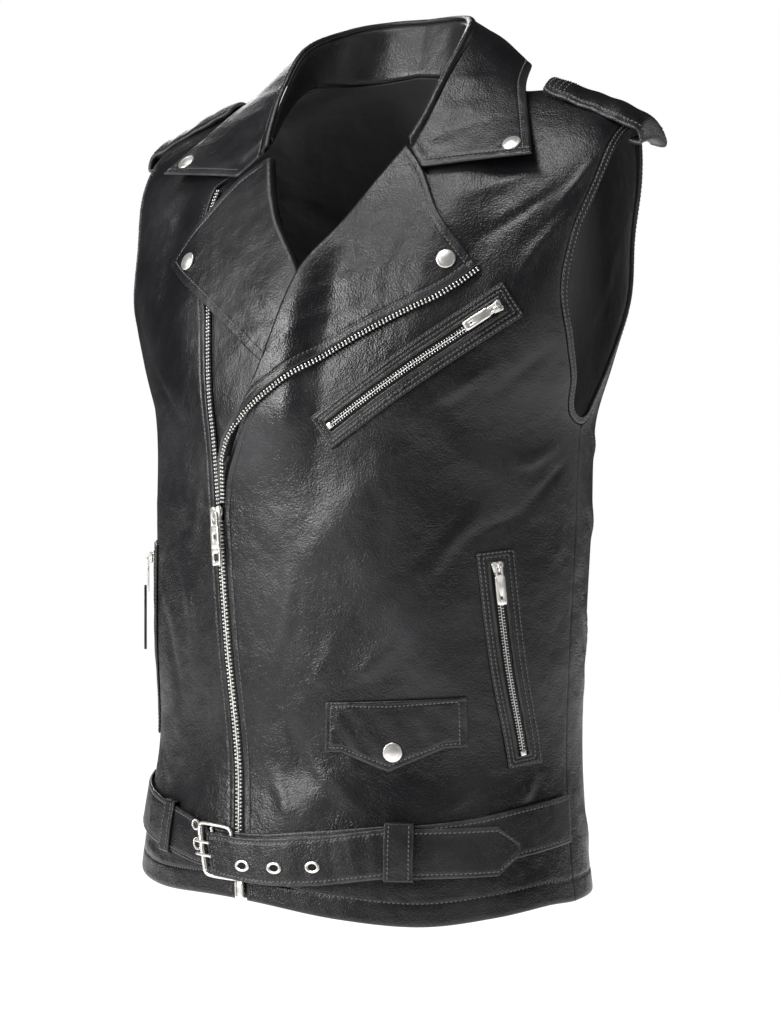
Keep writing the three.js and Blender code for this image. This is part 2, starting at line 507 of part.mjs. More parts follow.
// The same with a window: both outlines have the same count of points
function plateWithWindow(name, f, outline, window, low, high, material) {
  rings(name, outline.map(([x, y], i) => [
    put(f, x, y, low), put(f, x, y, high), put(f, ...window[i], high), put(f, ...window[i], low)]), true, material);
}
// t of the frame points from the slider's nose towards the tab's free end
function sliderAndTab(name, f, size) {
  const { long, wide, tab, tabWide, low } = size;
  const base = low + 3.4;
  box(name + "_slider", f, [-long * 0.62, long * 0.38], [-wide / 2, wide / 2], [low, base], metal, 0.72);
  const eye = base + 0.35;
  const half = tabWide / 2, near = tab * 0.74, far = tab * 0.92;
  plateWithWindow(name + "_pull", f,
    [[-long * 0.3, -half * 0.6], [0, -half * 0.84], [tab * 0.3, -half], [tab, -half],
      [tab, half], [tab * 0.3, half], [0, half * 0.84], [-long * 0.3, half * 0.6]],
    [[near, -half * 0.15], [near, -half * 0.35], [near, -half * 0.6], [far, -half * 0.6],
      [far, half * 0.6], [near, half * 0.6], [near, half * 0.35], [near, half * 0.15]],
    eye, eye + 1.5, metal);
}
const sliderFrame = frameOn(zipX(SLIDER_Z + 4), SLIDER_Z + 4, 0, 0.5, -4);
sliderAndTab("main", sliderFrame, { long: 13, wide: 11, tab: 38, tabWide: 9.6, low: 1.4 });
box("zip_box", frameOn(zipX(-632), -632, 0, 0.5, -4), [-6.5, 7], [-4.2, 4.2], [1.3, 3], metal);

// Zip pockets: a welt frame round a slot, the chain in the slot, slider and tab at the upper end
function pocket(name, from, to, size, sliderSize) {
  const { wide, slot, margin } = size;
  const dx = to[0] - from[0], dz = to[1] - from[1], length = Math.hypot(dx, dz);
  const place = (along, across, h) => {
    const x = from[0] + (dx * along) / length, z = from[1] + (dz * along) / length;
    const q = put(frameOn(x, z, 0, dx / 50, dz / 50), 0, across, 0);
    return at(q.x, q.z, h + skin(q.x, q.z));
  };
  const steps = 8, loop = [];
  const ends = (share) => lerp(-margin, length + margin, share);
  const innerEnds = (share) => lerp(-2, length + 2, share);
  for (let i = 0; i <= steps; i++) loop.push([i / steps, 1]);
  for (let i = steps; i >= 0; i--) loop.push([i / steps, -1]);
  const list = loop.map(([share, side]) => [
    place(ends(share), (side * wide) / 2, 1.2), place(ends(share), (side * wide) / 2, 2.2),
    place(innerEnds(share), (side * slot) / 2, 2.8), place(innerEnds(share), (side * slot) / 2, 1.2)]);
  rings(name + "_welt", list, true, leather);
  const teeth = [];
  for (let i = 0; i <= steps; i++)
    teeth.push([[-2.3, 0.9], [2.3, 0.9], [2.3, 2.2], [-2.3, 2.2]].map(([across, h]) => place(lerp(0, length, i / steps), across, h)));
  rings(name + "_zip", teeth, false, metal);
  const share = 0.985, x = from[0] + dx * share, z = from[1] + dz * share;
  const f = frameOn(x, z, skin(x, z), -dx / 50, -dz / 50);
  sliderAndTab(name, f, sliderSize);
  return f;
}
const POCKET = { wide: 30, slot: 9, margin: 11 };
const PULL = { long: 9, wide: 8.5, tab: 27, tabWide: 7.6, low: 2.8 };
pocket("chest_pocket", [52.3, -275.6], [169, -187.8], POCKET, PULL);
pocket("pocket_left", [174.2, -522], [164, -380], POCKET, PULL);
const rightPull = pocket("pocket_right", [-170.5, -523], [-162.5, -387], POCKET, PULL);
// Leather puller that hangs from the right pocket's tab
plate("pocket_right_puller", rightPull,
  [[22, -1.6], [30, -2.2], [34, -4.4], [44, -4.4], [47, -2.8], [76, -3.2], [76, 3.2], [47, 2.8], [44, 4.4], [34, 4.4], [30, 2.2], [22, 1.6]],
  8.5, 10.6, leather);

// Coin pocket flap with a pointed lower edge
wall("coin_flap", 8, 3, (u, v, side) => {
  const x = lerp(51.5, 148.5, u), top = lerp(-484.5, -478, u);
  const drop = 38 + 16 * Math.max(0, 1 - Math.abs(u - 0.5) / 0.36);
  const z = top - drop * (1 - v);
  return at(x, z, skin(x, z) + (side ? 3.4 - v * 0.5 : 1));
});

// Snap studs: low caps
function stud(name, p, n, radius = 7.4) {
  const t = V(0, 0, 1).cross(n).normalize(), b = n.clone().cross(t);
  const rows = [[0.55, 0], [1, 0.5], [1, 1.3], [0.72, 2.1], [0.3, 2.5]];
  rings(name, rows.map(([r, h]) => Array.from({ length: 14 }, (_, i) => {
    const a = (i / 14) * Math.PI * 2;
    return p.clone().addScaledVector(t, Math.cos(a) * r * radius).addScaledVector(b, Math.sin(a) * r * radius).addScaledVector(n, h);
  })), false, metal);
}
const studOn = (name, middle) => {
  const p = middle(1.7), n = middle(2.7).sub(p).normalize();
  stud(name, p, n);
};
studOn("stud_lapel_left", (h) => lapelPoint(LAPEL_LEFT, 0.89, 0.945, h));
studOn("stud_lapel_right", (h) => lapelPoint(LAPEL_RIGHT, 0.895, 0.88, h));
studOn("stud_collar_left", (h) => offset(fallMiddle, 0.957, 0.868, h - 0.1));
studOn("stud_collar_right", (h) => offset(fallMiddle, -0.957, 0.868, h - 0.1));
studOn("stud_flap", (h) => at(102.5, -520, h + 2 + skin(102.5, -520)));

// Belt. Rows by x share round the front: turn (degrees), middle height z of the under strap
const BELT = 36.5, LEAN = 2; // width; degrees that the buckle leans to each side of upright
const UNDER_STRAP = [[-90, -581], [-60, -588], [-30, -596.5], [-12, -604.5], [0, -605], [14, -600], [31, -593.5], [39, -592.3], [54, -588], [70, -581.5], [89.6, -577]];
const OVER_STRAP = [[-14, -607.7], [0, -608.5], [14, -604], [31, -595.6], [39, -594.9], [50, -594.3], [62, -593.9], [70, -592.5]];
const beltPoint = (deg, z, h) => lift((deg * Math.PI) / 180, levelAt(0, z), h);
// Depths: the under strap, each strap's thickness, and the over strap by turn, which first clears the buckle's far side
const LAYER = { under: 1.8, thick: 2.0 };
const OVER_RISE = [[-11, 7.6], [2, 7.4], [13, 5.2], [24, 4.3], [70, 4.3]];
const FOLD = -11; // turn of the middle of the strap's fold round the buckle's bar
const gather = (deg) => 1 - 0.13 * Math.exp(-(((deg + 7) / 11) ** 2)); // the strap is narrower in the buckle
const lean = (deg, across) => (-LEAN * across * Math.exp(-(((deg - FOLD) / 7) ** 2))) / (BELT / 2);
// One long strap: from the left side seam to the buckle, round its bar and back to the tip
wall("belt_left", 34, 2, (u, v, side) => {
  const split = 0.5, turnShare = 0.06, t = LAYER.thick, over = curve(OVER_RISE, FOLD, 1);
  let deg, z, h;
  if (u < split - turnShare) {
    deg = lerp(89.4, FOLD, u / (split - turnShare));
    z = curve(UNDER_STRAP, deg, 1);
    h = LAYER.under + (side ? t : 0);
  } else if (u <= split + turnShare) {
    const k = (u - split + turnShare) / (2 * turnShare), f = k * Math.PI;
    const middle = (LAYER.under + over + t) / 2, r = (over - LAYER.under) / 2;
    const rr = side ? r - t / 2 : r + t / 2;
    deg = FOLD - (Math.sin(f) * rr) / 2.35;
    z = lerp(curve(UNDER_STRAP, FOLD, 1), curve(OVER_STRAP, FOLD, 1), k);
    h = middle - Math.cos(f) * rr;
  } else {
    const k = (u - split - turnShare) / (1 - split - turnShare);
    deg = lerp(FOLD, 68, k);
    z = curve(OVER_STRAP, deg, 1);
    h = curve(OVER_RISE, deg, 1) + (side ? 0 : t);
  }
  const across = (v - 0.5) * BELT * gather(deg) * lerp(1, 0.18, u > 0.96 ? (u - 0.96) / 0.04 : 0);
  return beltPoint(deg + lean(deg, across), z + across, h);
});
wall("belt_right", 10, 2, (u, v, side) => {
  const deg = lerp(-89.4, -13.6, u), across = (v - 0.5) * BELT * 0.96 * gather(deg);
  return beltPoint(deg + lean(deg, across), curve(UNDER_STRAP, deg, 1) + across, side ? LAYER.under + LAYER.thick : LAYER.under);
});
// Belt loops: a bridge over the straps, its ends turned under on the leather
function loop(name, deg, z, width, half, height) {
  // across the strap, outer height, inner height
  const rows = [[-half, 2.2, 0.9], [-half + 0.7, height - 1.2, 0.9], [-half + 1.7, height, height - 1.7],
    [half - 1.7, height, height - 1.7], [half - 0.7, height - 1.2, 0.9], [half, 2.2, 0.9]];
  rings(name, rows.map(([across, high, low]) => {
    const d = width / 2 / 2.5;
    return [[-d, low], [d, low], [d, high], [-d, high]].map(([dd, h]) => beltPoint(deg + dd, z + across, h));
  }), false, leather);
}
loop("belt_loop_front", 35, -594, 18, 22, 9.3);
loop("belt_loop_right", -31.5, -596, 13, 20.6, 6.2);

// Buckle: a leaning frame on the right strap's end, a bar in the long strap's fold, and two prongs.
// Places are by turn at the middle height, height over the middle and depth.
const BUCKLE = { z: -605.7, half: 18.7, left: -14.8, bar: FOLD, right: -5.2, rise: 5.7 };
const buckleAt = (deg, up, h) => beltPoint(deg - (LEAN * up) / (BELT / 2), BUCKLE.z + up, h);
function rod(name, path, radius, isClosed) {
  const n = path.length;
  const list = path.map((p, i) => {
    const a = path[isClosed ? (i + n - 1) % n : Math.max(i - 1, 0)], b = path[isClosed ? (i + 1) % n : Math.min(i + 1, n - 1)];
    const t = b.clone().sub(a).normalize(), up = Math.abs(t.z) > 0.8 ? V(1, 0.2, 0) : V(0, 0, 1);
    const s = t.clone().cross(up).normalize(), q = s.clone().cross(t);
    return Array.from({ length: 6 }, (_, k) => p.clone()
      .addScaledVector(s, Math.cos((k * Math.PI) / 3) * radius).addScaledVector(q, Math.sin((k * Math.PI) / 3) * radius));
  });
  rings(name, list, isClosed, metal);
}
// turn (0 left, 1 right), height as a share of the half height, depth over the rise
const FRAME = [[0, -0.9, 1], [0, -0.45, 1], [0, 0, 1], [0, 0.45, 1], [0, 0.9, 1], [0.1, 1, 1], [0.5, 1.01, 0.6], [0.9, 0.98, 0],
  [1, 0.86, -0.3], [1, 0.45, -0.3], [1, 0, -0.3], [1, -0.45, -0.3], [1, -0.86, -0.3], [0.9, -0.98, 0], [0.5, -1.01, 0.6], [0.1, -1, 1]];
rod("buckle_frame", FRAME.map(([a, b, c]) => buckleAt(lerp(BUCKLE.left, BUCKLE.right, a), b * BUCKLE.half, BUCKLE.rise + c)), 1.3, true);
rod("buckle_bar", [-0.91, -0.45, 0, 0.45, 0.91].map((b) => buckleAt(BUCKLE.bar, b * BUCKLE.half, BUCKLE.rise)), 1.2, false);
for (const [name, up] of [["buckle_prong_upper", 5.5], ["buckle_prong_lower", -4]])
  rod(name, [[-0.9, 5.2], [-1.35, 6.6], [-0.9, 9.8], [-0.2, 10.4], [1.5, 10.9], [3.6, 11.2]].map(([a, h]) => buckleAt(BUCKLE.left + a, up, h)), 1.05, false);

// Eyelets in the returned strap
for (const [i, deg] of [-2, 5.5, 14.5].entries()) {
  const z = curve(OVER_STRAP, deg, 1) - 4.3;
  const middle = (a, r, h) => beltPoint(deg + (Math.cos(a) * r) / 2.45, z + Math.sin(a) * r, h);
  const list = Array.from({ length: 12 }, (_, k) => {
    const a = (k / 12) * Math.PI * 2;
    const low = curve(OVER_RISE, deg + (Math.cos(a) * 4) / 2.45, 1) + LAYER.thick + 0.3;
    return [middle(a, 2.5, low), middle(a, 4.5, low), middle(a, 4, low + 1), middle(a, 3, low + 1)];
  });
  rings("eyelet_" + (i + 1), list, true, metal);
}

export default vest;
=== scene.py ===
"""A man's black leather biker vest in its worn shape. Lengths are in mm until a mesh is made, in metres."""
import math

import bpy
import numpy as np
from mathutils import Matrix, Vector


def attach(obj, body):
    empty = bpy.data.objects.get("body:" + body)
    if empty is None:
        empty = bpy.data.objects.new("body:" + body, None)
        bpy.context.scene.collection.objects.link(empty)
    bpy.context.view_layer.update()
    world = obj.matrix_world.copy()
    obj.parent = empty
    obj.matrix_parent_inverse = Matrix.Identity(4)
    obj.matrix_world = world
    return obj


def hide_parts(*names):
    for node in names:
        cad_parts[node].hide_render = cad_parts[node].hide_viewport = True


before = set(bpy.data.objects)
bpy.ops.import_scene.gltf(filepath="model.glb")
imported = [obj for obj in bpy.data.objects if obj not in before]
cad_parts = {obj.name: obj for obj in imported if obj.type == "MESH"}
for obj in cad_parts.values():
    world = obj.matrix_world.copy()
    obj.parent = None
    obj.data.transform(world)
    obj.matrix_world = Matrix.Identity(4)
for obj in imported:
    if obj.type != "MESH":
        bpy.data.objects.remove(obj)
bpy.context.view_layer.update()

# Body form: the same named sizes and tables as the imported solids, in mm
WALL = 2.4
SEAM = 0.3
SHOULDER_Y = 30
CHEST_Z = -270
HEM = {"front": -640, "side": -641, "back": -648}
# The fronts' hems hang below the straight line from zip to side: turn from the middle, mm down
HEM_SAG = [[-90, 0], [-60, 2.5], [-34, 4], [-12, 0], [0, 0.5], [20, 6], [40, 8.5], [60, 3], [78, -1.5],
           [90, 0]]
NECK_X = 75
SHOULDER_DROP = 0.352
# The shoulder line's rounding over the straight fall: height, its inner and outer ends by x, their slopes'
# widths, and how much sharper the front's section is there
ROUND = {"rise": 11, "inner": 116, "up": 46, "outer": 240, "down": 44, "sharp": 0.25}
SHOULDER_REACH = 240
ROUNDNESS = 2.1
SIDE_BACK = 8
# height, half width, front depth, back depth
SECTIONS = [
    [-656, 199, -155, 121],
    [-600, 192, -149, 117],
    [-533, 185, -138, 117],
    [-447, 188, -137, 115],
    [-346, 191, -134, 120],
    [-300, 192, -131, 119],
    [-270, 195.5, -130, 118],
    [-230, 210, -130, 118],
    [-181, 226, -130, 118],
    [-133, 230, -130, 118],
    [-90, 238, -130, 118],
    [-50, 241, -130, 118],
    [40, 246, -130, 118],
]
LEVEL = 361
QUARTER = math.pi / 2


def lerp(a, b, t):
    return a + (b - a) * t


def smooth(t):
    """0 below 0, 1 above 1, and an even S between: 3t squared less 2t cubed."""
    u = np.clip(t, 0, 1)
    return u * u * (3 - 2 * u)


def unit(v):
    """Each vector divided by its own length."""
    return v / np.maximum(np.linalg.norm(v, axis=-1, keepdims=True), 1e-12)


def together(*values):
    """Numbers or arrays as arrays of one shape."""
    return [np.asarray(q, float) for q in np.broadcast_arrays(*values)]


def vec(x, y, z):
    """Points from coordinates that may be numbers or arrays."""
    return np.stack(np.broadcast_arrays(x, y, z), -1).astype(float)


def curve(rows, key, column):
    """A smooth curve through a table, read by its first column: cubic Hermite pieces whose slope in a row
    is the straight slope between that row's two neighbours."""
    t = np.asarray(rows, float)
    if t[-1, 0] < t[0, 0]:
        t = t[::-1]
    last = len(t) - 1
    k = np.clip(key, t[0, 0], t[-1, 0])
    i = np.clip(np.searchsorted(t[:, 0], k, side="right") - 1, 0, last - 1)
    low, high = np.maximum(np.arange(last + 1) - 1, 0), np.minimum(np.arange(last + 1) + 1, last)
    slope = (t[high, column] - t[low, column]) / (t[high, 0] - t[low, 0])
    step = t[i + 1, 0] - t[i, 0]
    q = (k - t[i, 0]) / step
    q2, q3 = q * q, q * q * q
    return ((2 * q3 - 3 * q2 + 1) * t[i, column] + (q3 - 2 * q2 + q) * step * slope[i]
            + (3 * q2 - 2 * q3) * t[i + 1, column] + (q3 - q2) * step * slope[i + 1])


def half_width(z):
    return curve(SECTIONS, z, 1)


def depth(z, back):
    return curve(SECTIONS, z, 3 if back else 2)


def rounding(x):
    x = np.abs(x)
    return smooth((x - ROUND["inner"]) / ROUND["up"]) * smooth((ROUND["outer"] - x) / ROUND["down"])


def shoulder_z(x):
    return ROUND["rise"] * rounding(x) - (np.hypot(x, 15) - NECK_X) * SHOULDER_DROP


def bend(v, power):
    return np.sign(v) * np.abs(v) ** power


def top_at(a):
    return shoulder_z(SHOULDER_REACH * bend(np.sin(a), 2 / ROUNDNESS))


def body(a, z, back=False):
    """Outer face at turn a from the middle and height z: a rounded ellipse from the section table, and above
    the underarm each side's depth shrinks to the shoulder line along a rounded power curve."""
    s, c = np.sin(a), np.abs(np.cos(a))
    low = np.minimum(z, CHEST_Z)
    middle = (depth(low, False) + depth(low, True)) / 2 + SIDE_BACK
    x = half_width(z) * bend(s, 2 / ROUNDNESS)
    y = middle + (depth(low, back) - middle) * c ** (2 / ROUNDNESS)
    line = SHOULDER_Y + (SEAM if back else -SEAM) / 2
    rise = np.clip((z - CHEST_Z) / (top_at(a) - CHEST_Z), 0, 1)
    sharper = ROUND["sharp"] * rounding(SHOULDER_REACH * bend(s, 2 / ROUNDNESS))
    power = 2.6 - 0.2 * s * s if back else 1.45 + 0.95 * np.abs(s) ** 2.5 - sharper
    over = line + (y - line) * (1 - rise ** power) ** (1 / power)
    return vec(x, np.where(z <= CHEST_Z, y, over), z)


def turn_at(x, z):
    return np.sign(x) * np.arcsin(np.clip(np.abs(x) / half_width(z), 0, 1) ** (ROUNDNESS / 2))


def height_at(a, v):
    up = lerp(CHEST_Z, top_at(a), np.sin(np.clip(v, 0, 1) * QUARTER))
    return np.where(v <= 0, CHEST_Z + v * LEVEL, up)


def level_at(a, z):
    up = np.arcsin(np.clip((z - CHEST_Z) / (top_at(a) - CHEST_Z), 0, 1)) / QUARTER
    return np.where(z <= CHEST_Z, (z - CHEST_Z) / LEVEL, up)


def face(a, v, back=False):
    return body(a, height_at(a, v), back)


def lift(a, v, h, back=False):
    """The face's point moved h along its normal, which is the cross product of its two slopes."""
    e = 0.004
    w = np.minimum(v, 1 - e)
    n = unit(np.cross(face(a + e, w, back) - face(a - e, w, back),
                      face(a, w + e, back) - face(a, w - e, back)))
    p = face(a, v, back) + (-n if back else n) * np.asarray(h, float)[..., None]
    line = SHOULDER_Y + (SEAM if back else -SEAM) / 2
    held = np.maximum(p[..., 1], line) if back else np.minimum(p[..., 1], line)
    p[..., 1] = np.where(v > 0.97, held, p[..., 1])
    return p


def at(x, z, h):
    """A point of the front by x, z and its height h over the smooth form."""
    x, z, h = together(x, z, h)
    a = turn_at(x, z)
    return lift(a, level_at(a, z), h)


# Large folds of the worn leather, as in the solids: x, z of the middle, length, width, lean, height
FOLDS = [
    [60, -345, 120, 22, 38, 2.2],
    [-95, -330, 110, 20, -20, 1.8],
    [110, -430, 130, 24, -28, 2.0],
    [40, -560, 90, 20, 55, 1.8],
    [-110, -520, 120, 20, 25, 2.0],
    [150, -300, 90, 18, -50, 1.6],
]
# Smaller creases of the fronts, by the arc from the middle and z: arc, z, length, width, lean, height
FRONT_CREASES = [
    [150, -372, 120, 13, 50, 1.5], [205, -352, 90, 9, 62, -1.1], [118, -395, 130, 15, 47, -1.0],
    [238, -392, 80, 8, 66, 1.2], [215, -425, 100, 11, 58, -1.0], [92, -455, 90, 13, 42, 1.1],
    [40, -470, 70, 11, 30, 0.9], [8, -430, 80, 9, 12, 0.8], [30, -520, 60, 9, -32, -0.9],
    [62, -545, 66, 10, -48, 1.1], [20, -566, 50, 8, -20, 0.9], [175, -560, 46, 7, 72, 0.8],
    [262, -470, 60, 9, 40, 1.3], [280, -520, 70, 10, 28, -1.1], [250, -548, 60, 9, 35, 1.2],
    [292, -430, 60, 8, 20, 1.0], [150, -245, 54, 9, 66, 0.8], [205, -235, 60, 9, 52, -0.8],
    [188, -150, 70, 10, 40, 1.0], [160, -118, 60, 9, 58, -0.8], [240, -300, 50, 7, 76, 1.0],
    [262, -318, 46, 6, 66, -0.8], [130, -92, 50, 9, 70, 0.9], [205, -95, 44, 8, 30, 0.7],
    [-95, -420, 90, 11, -14, 1.0], [-130, -460, 100, 12, -30, -0.9], [-170, -400, 90, 10, -44, 1.1],
    [-215, -370, 80, 9, -58, -0.9], [-240, -330, 60, 8, -66, 1.0], [-80, -350, 60, 8, 10, 0.7],
    [-120, -560, 60, 9, 30, 0.9], [-240, -560, 70, 10, -26, 1.2], [-270, -470, 70, 10, -20, 1.0],
    [-130, -250, 60, 9, -50, 0.8], [-180, -190, 60, 9, -36, 0.9], [-215, -260, 50, 8, -60, -0.8],
    [-150, -110, 50, 9, -62, 0.8], [110, -618, 80, 8, 84, 0.7], [-150, -622, 70, 8, -80, 0.7],
    [215, -612, 60, 7, 70, 0.8], [30, -625, 60, 7, 80, -0.6], [-60, -495, 60, 9, -8, 0.8],
]
# The same for the back, which sags a little over the belt's height and pulls from the shoulder blades
BACK_CREASES = [
    [30, -480, 150, 17, 62, 1.5], [-70, -505, 130, 15, -66, 1.5], [60, -530, 140, 14, 78, -1.2],
    [-30, -560, 130, 14, -82, 1.2], [120, -440, 130, 15, 50, 1.3], [-140, -430, 120, 14, -52, 1.3],
    [190, -500, 90, 11, 60, 1.1], [-205, -520, 90, 11, -58, 1.1], [215, -360, 110, 12, 66, 1.2],
    [-220, -350, 110, 12, -64, 1.2], [140, -300, 110, 12, 44, -1.0], [-130, -310, 110, 13, -40, -1.0],
    [0, -330, 120, 16, 4, 0.9], [60, -200, 110, 14, 30, 1.0], [-70, -190, 110, 14, -34, 1.0],
    [160, -180, 90, 11, 40, 0.9], [-165, -175, 90, 11, -38, 0.9], [0, -115, 90, 14, 88, 0.8],
    [90, -100, 70, 11, 66, -0.7], [-95, -105, 70, 11, -62, -0.7], [250, -430, 70, 9, 40, 1.1],
    [-255, -440, 70, 9, -38, 1.1], [80, -605, 110, 11, 82, 0.9], [-110, -600, 110, 11, -86, 0.9],
    [20, -420, 90, 12, -35, 0.8], [-40, -620, 90, 10, 80, -0.7], [245, -290, 60, 8, 70, 0.9],
    [-245, -285, 60, 8, -70, 0.9], [240, -590, 70, 9, 50, 0.9], [-245, -595, 70, 9, -48, 0.9],
]


def ridges(rows, x, z):
    """Sum of soft ridges and troughs: each falls off like a bell along and, faster, across its own lean,
    and its line bows a little with its length."""
    total = 0
    for rx, rz, length, width, lean, height in rows:
        r = math.radians(lean)
        dx, dz = x - rx, z - rz
        along = dx * math.sin(r) + dz * math.cos(r)
        across = dx * math.cos(r) - dz * math.sin(r)
        total = total + height * np.exp(-((along / length) ** 2) * 4 - ((across / width) ** 2) * 2)
    return total


ARC = 195  # mm round the body for a turn of one radian
CREASE_GAIN = 1.6  # how much higher the small creases stand than their tables say


def creases(rows, a, z):
    """The small creases of a panel, each with a bow, by the arc from the middle."""
    arc = a * ARC
    return CREASE_GAIN * ridges(rows, arc + 3 * np.sin(z / 31) + 1.6 * np.sin(z / 12.7),
                                z + 2.4 * np.sin(arc / 17))


def zip_x(z):
    return np.where(z < ZIP_TOP, curve(ZIP, z, 1), curve(RIGHT_TAPE, z, 1))


def from_zip(x, z):
    """Distance from the zip's line, which goes straight up from where the zip opens."""
    return np.abs(x - np.where(z < -300, zip_x(z), ZIP_TOP_X))


def folds(x, z):
    """The large folds, stilled near the zip, near the side seams and above the chest."""
    still = smooth((from_zip(x, z) - 8) / 34) * smooth((1.5 - np.abs(turn_at(x, z))) / 0.3)
    return ridges(FOLDS, x, z) * still * smooth((-150 - z) / 60)


def overlap(x, z):
    """The left front stands off where it passes over the right lapel."""
    over = 8.4 * smooth((z + 338) / 80) * smooth((-100 - z) / 62) * smooth((44 - x) / 32)
    return np.where(x > LEFT_FRONT_END, over, 0)


def calm(x, z):
    """0 on the pockets, the flap and the belt, whose stiff layers hold the leather flat, 1 away from them."""
    free = 1
    for x0, z0, x1, z1, reach in STIFF:
        dx, dz = x1 - x0, z1 - z0
        t = np.clip(((x - x0) * dx + (z - z0) * dz) / (dx * dx + dz * dz), 0, 1)
        free = free * smooth((np.hypot(x - x0 - t * dx, z - z0 - t * dz) - reach) / 16)
    return free


def worn(x, z):
    """Everything that the front's face has over the smooth form: folds, overlap and creases."""
    still = smooth((from_zip(x, z) - 6) / 20) * calm(x, z)
    return folds(x, z) + overlap(x, z) + still * creases(FRONT_CREASES, turn_at(x, z), z)


# Lines of the pattern, in x and z on the front
HALF_TAPE = 4.6
ZIP_TOP, ZIP_TOP_X = -346, -53  # where the closed zip ends
LEFT_FRONT_END = -54  # x beyond which nothing of the left front lies over the right one
ZIP = [[-652, -12.6], [-633, -15], [-575, -23.7], [-486, -36.5], [-415, -45.5], [ZIP_TOP, ZIP_TOP_X]]  # z, x
RIGHT_TAPE = [[ZIP_TOP, ZIP_TOP_X], [-300, -60], [-258, -67.5], [-187, -83], [-140, -99], [-110, -110],
              [-92, -111.5], [-80, -108.5]]  # z, x
LEFT_EDGE = [[-346, -50.5], [-322, -48.5], [-297, -40], [-257, -18], [-226, -6], [-166, 10], [-113, 40],
             [-62, 68]]
NECK_END = (76.5, -1.2)
RIGHT_ROLL = [[-234, 13.5], [-200, 12.5], [-166, 8], [-113, -35], [-62, -65]]  # z, x
SLIDER_Z = -352
CHEST_POCKET = ((52.3, -275.6), (169, -187.8))
LEFT_POCKET = ((174.2, -522), (164, -380))
RIGHT_POCKET = ((-170.5, -523), (-162.5, -387))
# Stiff places: two ends of their middle line by x, z, and the half width
STIFF = [
    *([*low, *high, 17] for low, high in (CHEST_POCKET, LEFT_POCKET, RIGHT_POCKET)),
    [66, -500, 140, -496, 26], [-160, -586, -60, -600, 20], [-60, -600, 40, -604, 22],
    [40, -602, 165, -588, 21],
]

# Armhole: k, level, turn of the front edge, turn of the back edge (degrees)
BINDING = 5.5
ARMHOLE = [
    [0, 0, 90, 90],
    [0.07, 0.005, 86.3, 87.4],
    [0.15, 0.034, 83.3, 85.2],
    [0.27, 0.092, 80.6, 82.6],
    [0.4, 0.175, 74.2, 79.4],
    [0.53, 0.275, 67.3, 76],
    [0.68, 0.41, 67.6, 73.4],
    [0.84, 0.62, 69.6, 71.2],
    [1, 1, 69.6, 69.6],
]


def armhole(k, back):
    return np.radians(curve(ARMHOLE, k, 3 if back else 2)), np.clip(curve(ARMHOLE, k, 1), 0, 1)


def arm_line(k, back, distance):
    """The armhole's line moved into the panel: its own direction crossed with the face's normal gives the
    way in, which is solved for a change of turn and level."""
    k = np.asarray(k, float)
    step, e = 0.02, 0.004
    a, v = armhole(k, back)
    w = np.clip(v, e, 1 - e)
    before, after = armhole(np.maximum(k - step, 0), back), armhole(np.minimum(k + step, 1), back)
    along = unit(face(*after, back) - face(*before, back))
    da = (face(a + e, w, back) - face(a - e, w, back)) / (2 * e)
    dv = (face(a, w + e, back) - face(a, w - e, back)) / (2 * e)
    into = unit(np.cross(along, np.cross(da, dv)))
    into = np.where(np.sum(into * da, -1, keepdims=True) > 0, -into, into)
    aa, av, vv = np.sum(da * da, -1), np.sum(da * dv, -1), np.sum(dv * dv, -1)
    ga, gv = np.sum(into * da, -1), np.sum(into * dv, -1)
    det = aa * vv - av * av
    moved_a = a + distance * (ga * vv - gv * av) / det
    moved_v = v + distance * (gv * aa - ga * av) / det
    top, low = smooth((k - 0.9) / 0.1), smooth(k / 0.12)
    return lerp(QUARTER, moved_a, low), lerp(lerp(-distance / LEVEL, moved_v, low), v, top)


SPLIT = 0.4  # share of the rows below the underarm
SIDE_SEAM = QUARTER - 0.012 / 105  # the dressed panels meet closer than the solids, so no light comes through


def outer_end(r, sign, back):
    """Turn and level of a panel's outer edge in row r: the side seam, then the armhole."""
    hem, under = level_at(SIDE_SEAM, HEM["side"]), arm_line(0.0, back, BINDING + SEAM + 0.5)[1]
    k = np.clip((r - SPLIT) / (1 - SPLIT), 0, 1)
    a, v = arm_line(k, back, BINDING + SEAM + 0.5 * (1 - smooth(k / 0.2)))
    below = r <= SPLIT
    return (sign * np.where(below, SIDE_SEAM, np.minimum(a, SIDE_SEAM)),
            np.where(below, lerp(hem, under, r / SPLIT), v))


UNDERARM_Z = -275  # height of a front's inner edge in the underarm's row


def edge_height(r, top, share):
    """Height of a front's inner edge: from the hem to the underarm's row, then to its top in row share."""
    return np.where(r < SPLIT, lerp(HEM["front"], UNDERARM_Z, r / SPLIT),
                    lerp(UNDERARM_Z, top, (r - SPLIT) / (share - SPLIT)))


def left_edge(r):
    """x and z of the left front's inner edge: the zip, the line under the lapel, then the neck."""
    share = 0.9
    z = edge_height(r, -66, share)
    over = curve(LEFT_EDGE, z, 1) + lerp(2.4, 4.6, smooth((z + 325) / 30)) + 3 * smooth((z + 100) / 30)
    x = np.where(z < SLIDER_Z, zip_x(z) + HALF_TAPE, over)
    t = np.clip((r - share) / (1 - share), 0, 1)
    neck = r > share
    return np.where(neck, lerp(76, NECK_END[0], t), x), np.where(neck, lerp(-62, NECK_END[1], t ** 0.8), z)


